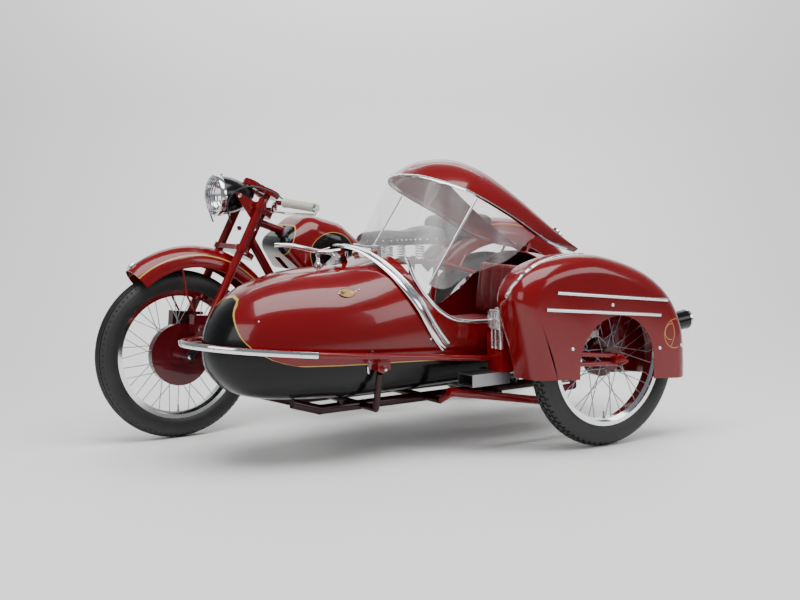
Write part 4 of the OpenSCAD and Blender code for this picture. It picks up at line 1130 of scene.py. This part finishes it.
# %% Cloth cushions
def cushion(name, material, body, stands_for, low, high, shape_it, cap=0.012,
            voxel=0.007):
    shape = bmesh.new()
    block(shape, low, high, min(high[i] - low[i] for i in range(3)) * 0.34, 4)
    bmesh.ops.triangulate(shape, faces=shape.faces)
    mesh = bpy.data.meshes.new(name)
    bmesh.ops.recalc_face_normals(shape, faces=shape.faces)
    shape.to_mesh(mesh)
    shape.free()
    piece = bpy.data.objects.new(name, mesh)
    bpy.context.scene.collection.objects.link(piece)
    remesh = piece.modifiers.new("even", "REMESH")
    remesh.mode, remesh.voxel_size = "VOXEL", voxel
    bake(piece)
    for v in piece.data.vertices:
        v.co = shape_it(v.co.copy())
    rest = [v.co.copy() for v in piece.data.vertices]
    base = piece.vertex_groups.new(name="base")
    floor_z = min(c.z for c in rest)
    base.add([i for i, c in enumerate(rest) if c.z < floor_z + 0.012], 1.0, "REPLACE")
    cloth = piece.modifiers.new("cloth", "CLOTH")
    cloth.settings.use_pressure = True
    cloth.settings.uniform_pressure_force = 3.0
    cloth.settings.tension_stiffness = 25
    cloth.settings.vertex_group_mass = "base"
    cloth.settings.effector_weights.gravity = 0
    cloth.point_cache.frame_start, cloth.point_cache.frame_end = 1, 14
    for step in range(1, 13):
        bpy.context.scene.frame_set(step)
    bake(piece)
    bpy.context.scene.frame_set(1)
    for v, start in zip(piece.data.vertices, rest):
        moved = v.co - start
        if moved.length > cap:
            v.co = start + moved.normalized() * cap
    piece.data.materials.clear()
    piece.data.materials.append(material)
    for polygon in piece.data.polygons:
        polygon.use_smooth = True
    soft = piece.modifiers.new("soft", "SUBSURF")
    soft.levels = soft.render_levels = 1
    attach(piece, body)
    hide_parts(*stands_for)
    return piece


def bake(piece):
    """Makes a piece's modifiers part of its mesh."""
    graph = bpy.context.evaluated_depsgraph_get()
    graph.update()
    done = bpy.data.meshes.new_from_object(piece.evaluated_get(graph))
    piece.modifiers.clear()
    piece.data = done


def saddle_shape(p):
    """Narrow nose in front, wide and dished at the back."""
    x = (p.x - spot(-1180, 0, 0).x) / 0.28
    share = 1.0 - 0.62 * min(max(x, 0), 1) ** 1.3
    side = p.y - cycle_y
    top = p.z > 0.752
    dish = -0.010 * math.exp(-((x - 0.42) / 0.22) ** 2) if top else 0
    rise = 0.012 * max(0, 0.25 - x) * 4 if top else 0
    droop = -0.018 * (abs(side) / 0.125) ** 2 if top else 0
    return Vector((p.x, cycle_y + side * share, p.z + dish + rise + droop))


saddle_low, saddle_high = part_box("saddle")
print("saddle box", [round(v, 3) for v in saddle_low], [round(v, 3) for v in saddle_high])
cushion("saddle_cover", black_leather, "machine", ["saddle"],
        saddle_low + Vector((0.004, 0.004, 0.0)), saddle_high - Vector((0.002, 0.004, 0.012)),
        saddle_shape, 0.010)
pillion_low, pillion_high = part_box("pillion")


def pillion_shape(p):
    middle_y = cycle_y
    across = (p.y - middle_y) / 0.11
    along = (p.x - (pillion_low.x + pillion_high.x) / 2) / 0.08
    high = (p.z - pillion_low.z) / (pillion_high.z - pillion_low.z)
    pull = 1 - 0.05 * (1 - along * along) * (1 - high)
    return Vector((p.x, middle_y + (p.y - middle_y) * pull,
                   p.z - (0.010 * across * across if high > 0.5 else 0)))


cushion("pillion_cover", black_leather, "machine", ["pillion"],
        pillion_low + Vector((0.004, 0.005, 0.001)), pillion_high - Vector((0.004, 0.005, 0.006)),
        pillion_shape, 0.008, 0.006)

# %% Sidecar cushions with sewn channels
top_of_base = 0.448


def channels(p):
    """Pulls the skin in along sewn lines that run fore and aft."""
    lane = (p.y - spot(0, 620, 0).y) / 0.066
    seam = abs(lane - round(lane)) * 0.066
    return 0.007 * math.exp(-(seam / 0.006) ** 2)


def base_shape(p):
    return Vector((p.x, p.y, p.z - (channels(p) if p.z > top_of_base - 0.04 else 0)))


cushion("seat_cushion", red_leather, "machine", ["sidecar_seat"],
        spot(-1176, 424, 339), spot(-864, 816, 441), base_shape, 0.007, 0.0075)


def back_shape(p):
    lean = math.radians(-8)
    foot = spot(-1172, 0, 449)
    dx, dz = p.x - foot.x, p.z - foot.z
    dent = channels(p) if dx > 0.03 else 0
    return Vector((foot.x + dx * math.cos(lean) + dz * math.sin(lean) - dent, p.y,
                   foot.z - dx * math.sin(lean) + dz * math.cos(lean)))


cushion("seat_back", red_leather, "machine", ["sidecar_seat"],
        spot(-1168, 454, 454), spot(-1116, 786, 658), back_shape, 0.006, 0.0075)

# %% Piping and studs
shape = bmesh.new()
x0, x1, y0, y1, corner = -1174, -866, 426, 814, 26
ring = []
for cx, cy, a0 in ((x1 - corner, y1 - corner, 0), (x0 + corner, y1 - corner, 90),
                   (x0 + corner, y0 + corner, 180), (x1 - corner, y0 + corner, 270)):
    for k in range(7):
        a = math.radians(a0 + k * 15)
        ring.append(spot(cx + corner * math.cos(a), cy + corner * math.sin(a), 427))
swept(shape, ring_section(0.0032, 8), path(ring + ring[:1], Vector((0, 0, 1))))
add("cushion_piping", shape, black_leather, "machine", 60)
studs = bmesh.new()
saddle = bpy.data.objects["saddle_cover"]
depth = bpy.context.evaluated_depsgraph_get()
saddle_mesh = saddle.evaluated_get(depth).to_mesh()
saddle_tree = BVHTree.FromPolygons([v.co for v in saddle_mesh.vertices],
                                   [p.vertices[:] for p in saddle_mesh.polygons])
for k in range(30):
    a = math.tau * k / 30
    reach = Vector((math.cos(a) * 0.3, math.sin(a) * 0.3, 0))
    centre = Vector(((saddle_low.x + saddle_high.x) / 2 - 0.02, cycle_y, saddle_low.z + 0.022))
    hit = saddle_tree.ray_cast(centre + reach, -reach)
    if hit[0] is not None:
        turned(studs, [(0, -0.001), (0.0042, -0.001), (0.0038, 0.0012), (0.002, 0.0022),
                       (0, 0.0024)], hit[0], hit[1], 10)
add("saddle_studs", studs, chrome, "machine", 30)
print("soft pieces made")

# %% [markdown]
# ## The studio
#
# A pale painted floor that curves up into a wall, and large soft lights, so that the enamel
# and the chrome have wide calm shapes to reflect.

# %% Floor, wall and lights
def plain(name, base, roughness):
    material, wire, shader = finish(name, base, roughness)
    feed(wire, shader, Roughness=wire.noise(4.0, 4.0) * 0.1 + roughness)
    return material


floor_mesh = bpy.data.meshes.new("studio")
shape = bmesh.new()
profile = [shape.verts.new((14.0, 0, 0)), shape.verts.new((-3.6, 0, 0))]
edge = shape.edges.new(profile)
bend = bmesh.ops.spin(shape, geom=[profile[1]], cent=(-3.6, 0, 1.6), axis=(0, 1, 0),
                      dvec=(0, 0, 0), angle=math.radians(90), steps=16)
last = [v for v in bend["geom_last"] if isinstance(v, bmesh.types.BMVert)][0]
wall_top = bmesh.ops.extrude_vert_indiv(shape, verts=[last])["verts"][0]
wall_top.co += Vector((0, 0, 7))
bmesh.ops.translate(shape, verts=shape.verts, vec=(0, -14, 0))
wide = bmesh.ops.extrude_edge_only(shape, edges=shape.edges)
bmesh.ops.translate(shape, verts=[v for v in wide["geom"] if isinstance(v, bmesh.types.BMVert)],
                    vec=(0, 28, 0))
turning = Matrix.Rotation(math.atan2(-look.y, -look.x), 4, "Z")
bmesh.ops.transform(shape, matrix=turning, verts=shape.verts)
bmesh.ops.recalc_face_normals(shape, faces=shape.faces)
for face in shape.faces:
    face.smooth = True
shape.to_mesh(floor_mesh)
shape.free()
floor_mesh.materials.append(plain("studio_paint", colour(0.86, 0.865, 0.85), 0.5))
floor = bpy.data.objects.new("studio", floor_mesh)
bpy.context.scene.collection.objects.link(floor)

world = bpy.data.worlds.new("studio_air")
bpy.context.scene.world = world
world.use_nodes = True
world.node_tree.nodes["Background"].inputs["Color"].default_value = colour(0.92, 0.95, 1.0)
world.node_tree.nodes["Background"].inputs["Strength"].default_value = 0.26


def soft_light(name, place, target, power, width, height):
    light = bpy.data.lights.new(name, "AREA")
    light.shape = "RECTANGLE"
    light.size, light.size_y, light.energy = width, height, power
    lamp = bpy.data.objects.new(name, light)
    lamp.location = place
    lamp.rotation_euler = (Vector(target) - Vector(place)).to_track_quat("-Z", "Y").to_euler()
    bpy.context.scene.collection.objects.link(lamp)


soft_light("ceiling", (0.6, 1.4, 4.6), (0, 0.2, 0), 360, 5.5, 3.2)
soft_light("left_bank", (-3.2, 4.6, 2.6), (0, 0, 0.5), 70, 3.0, 2.0)
soft_light("front_bank", (4.8, 1.2, 2.2), (0, 0, 0.5), 50, 2.6, 2.0)
soft_light("wall_wash", (-2.0, -3.2, 4.5), (-3, -5, 1.2), 185, 6.0, 1.5)
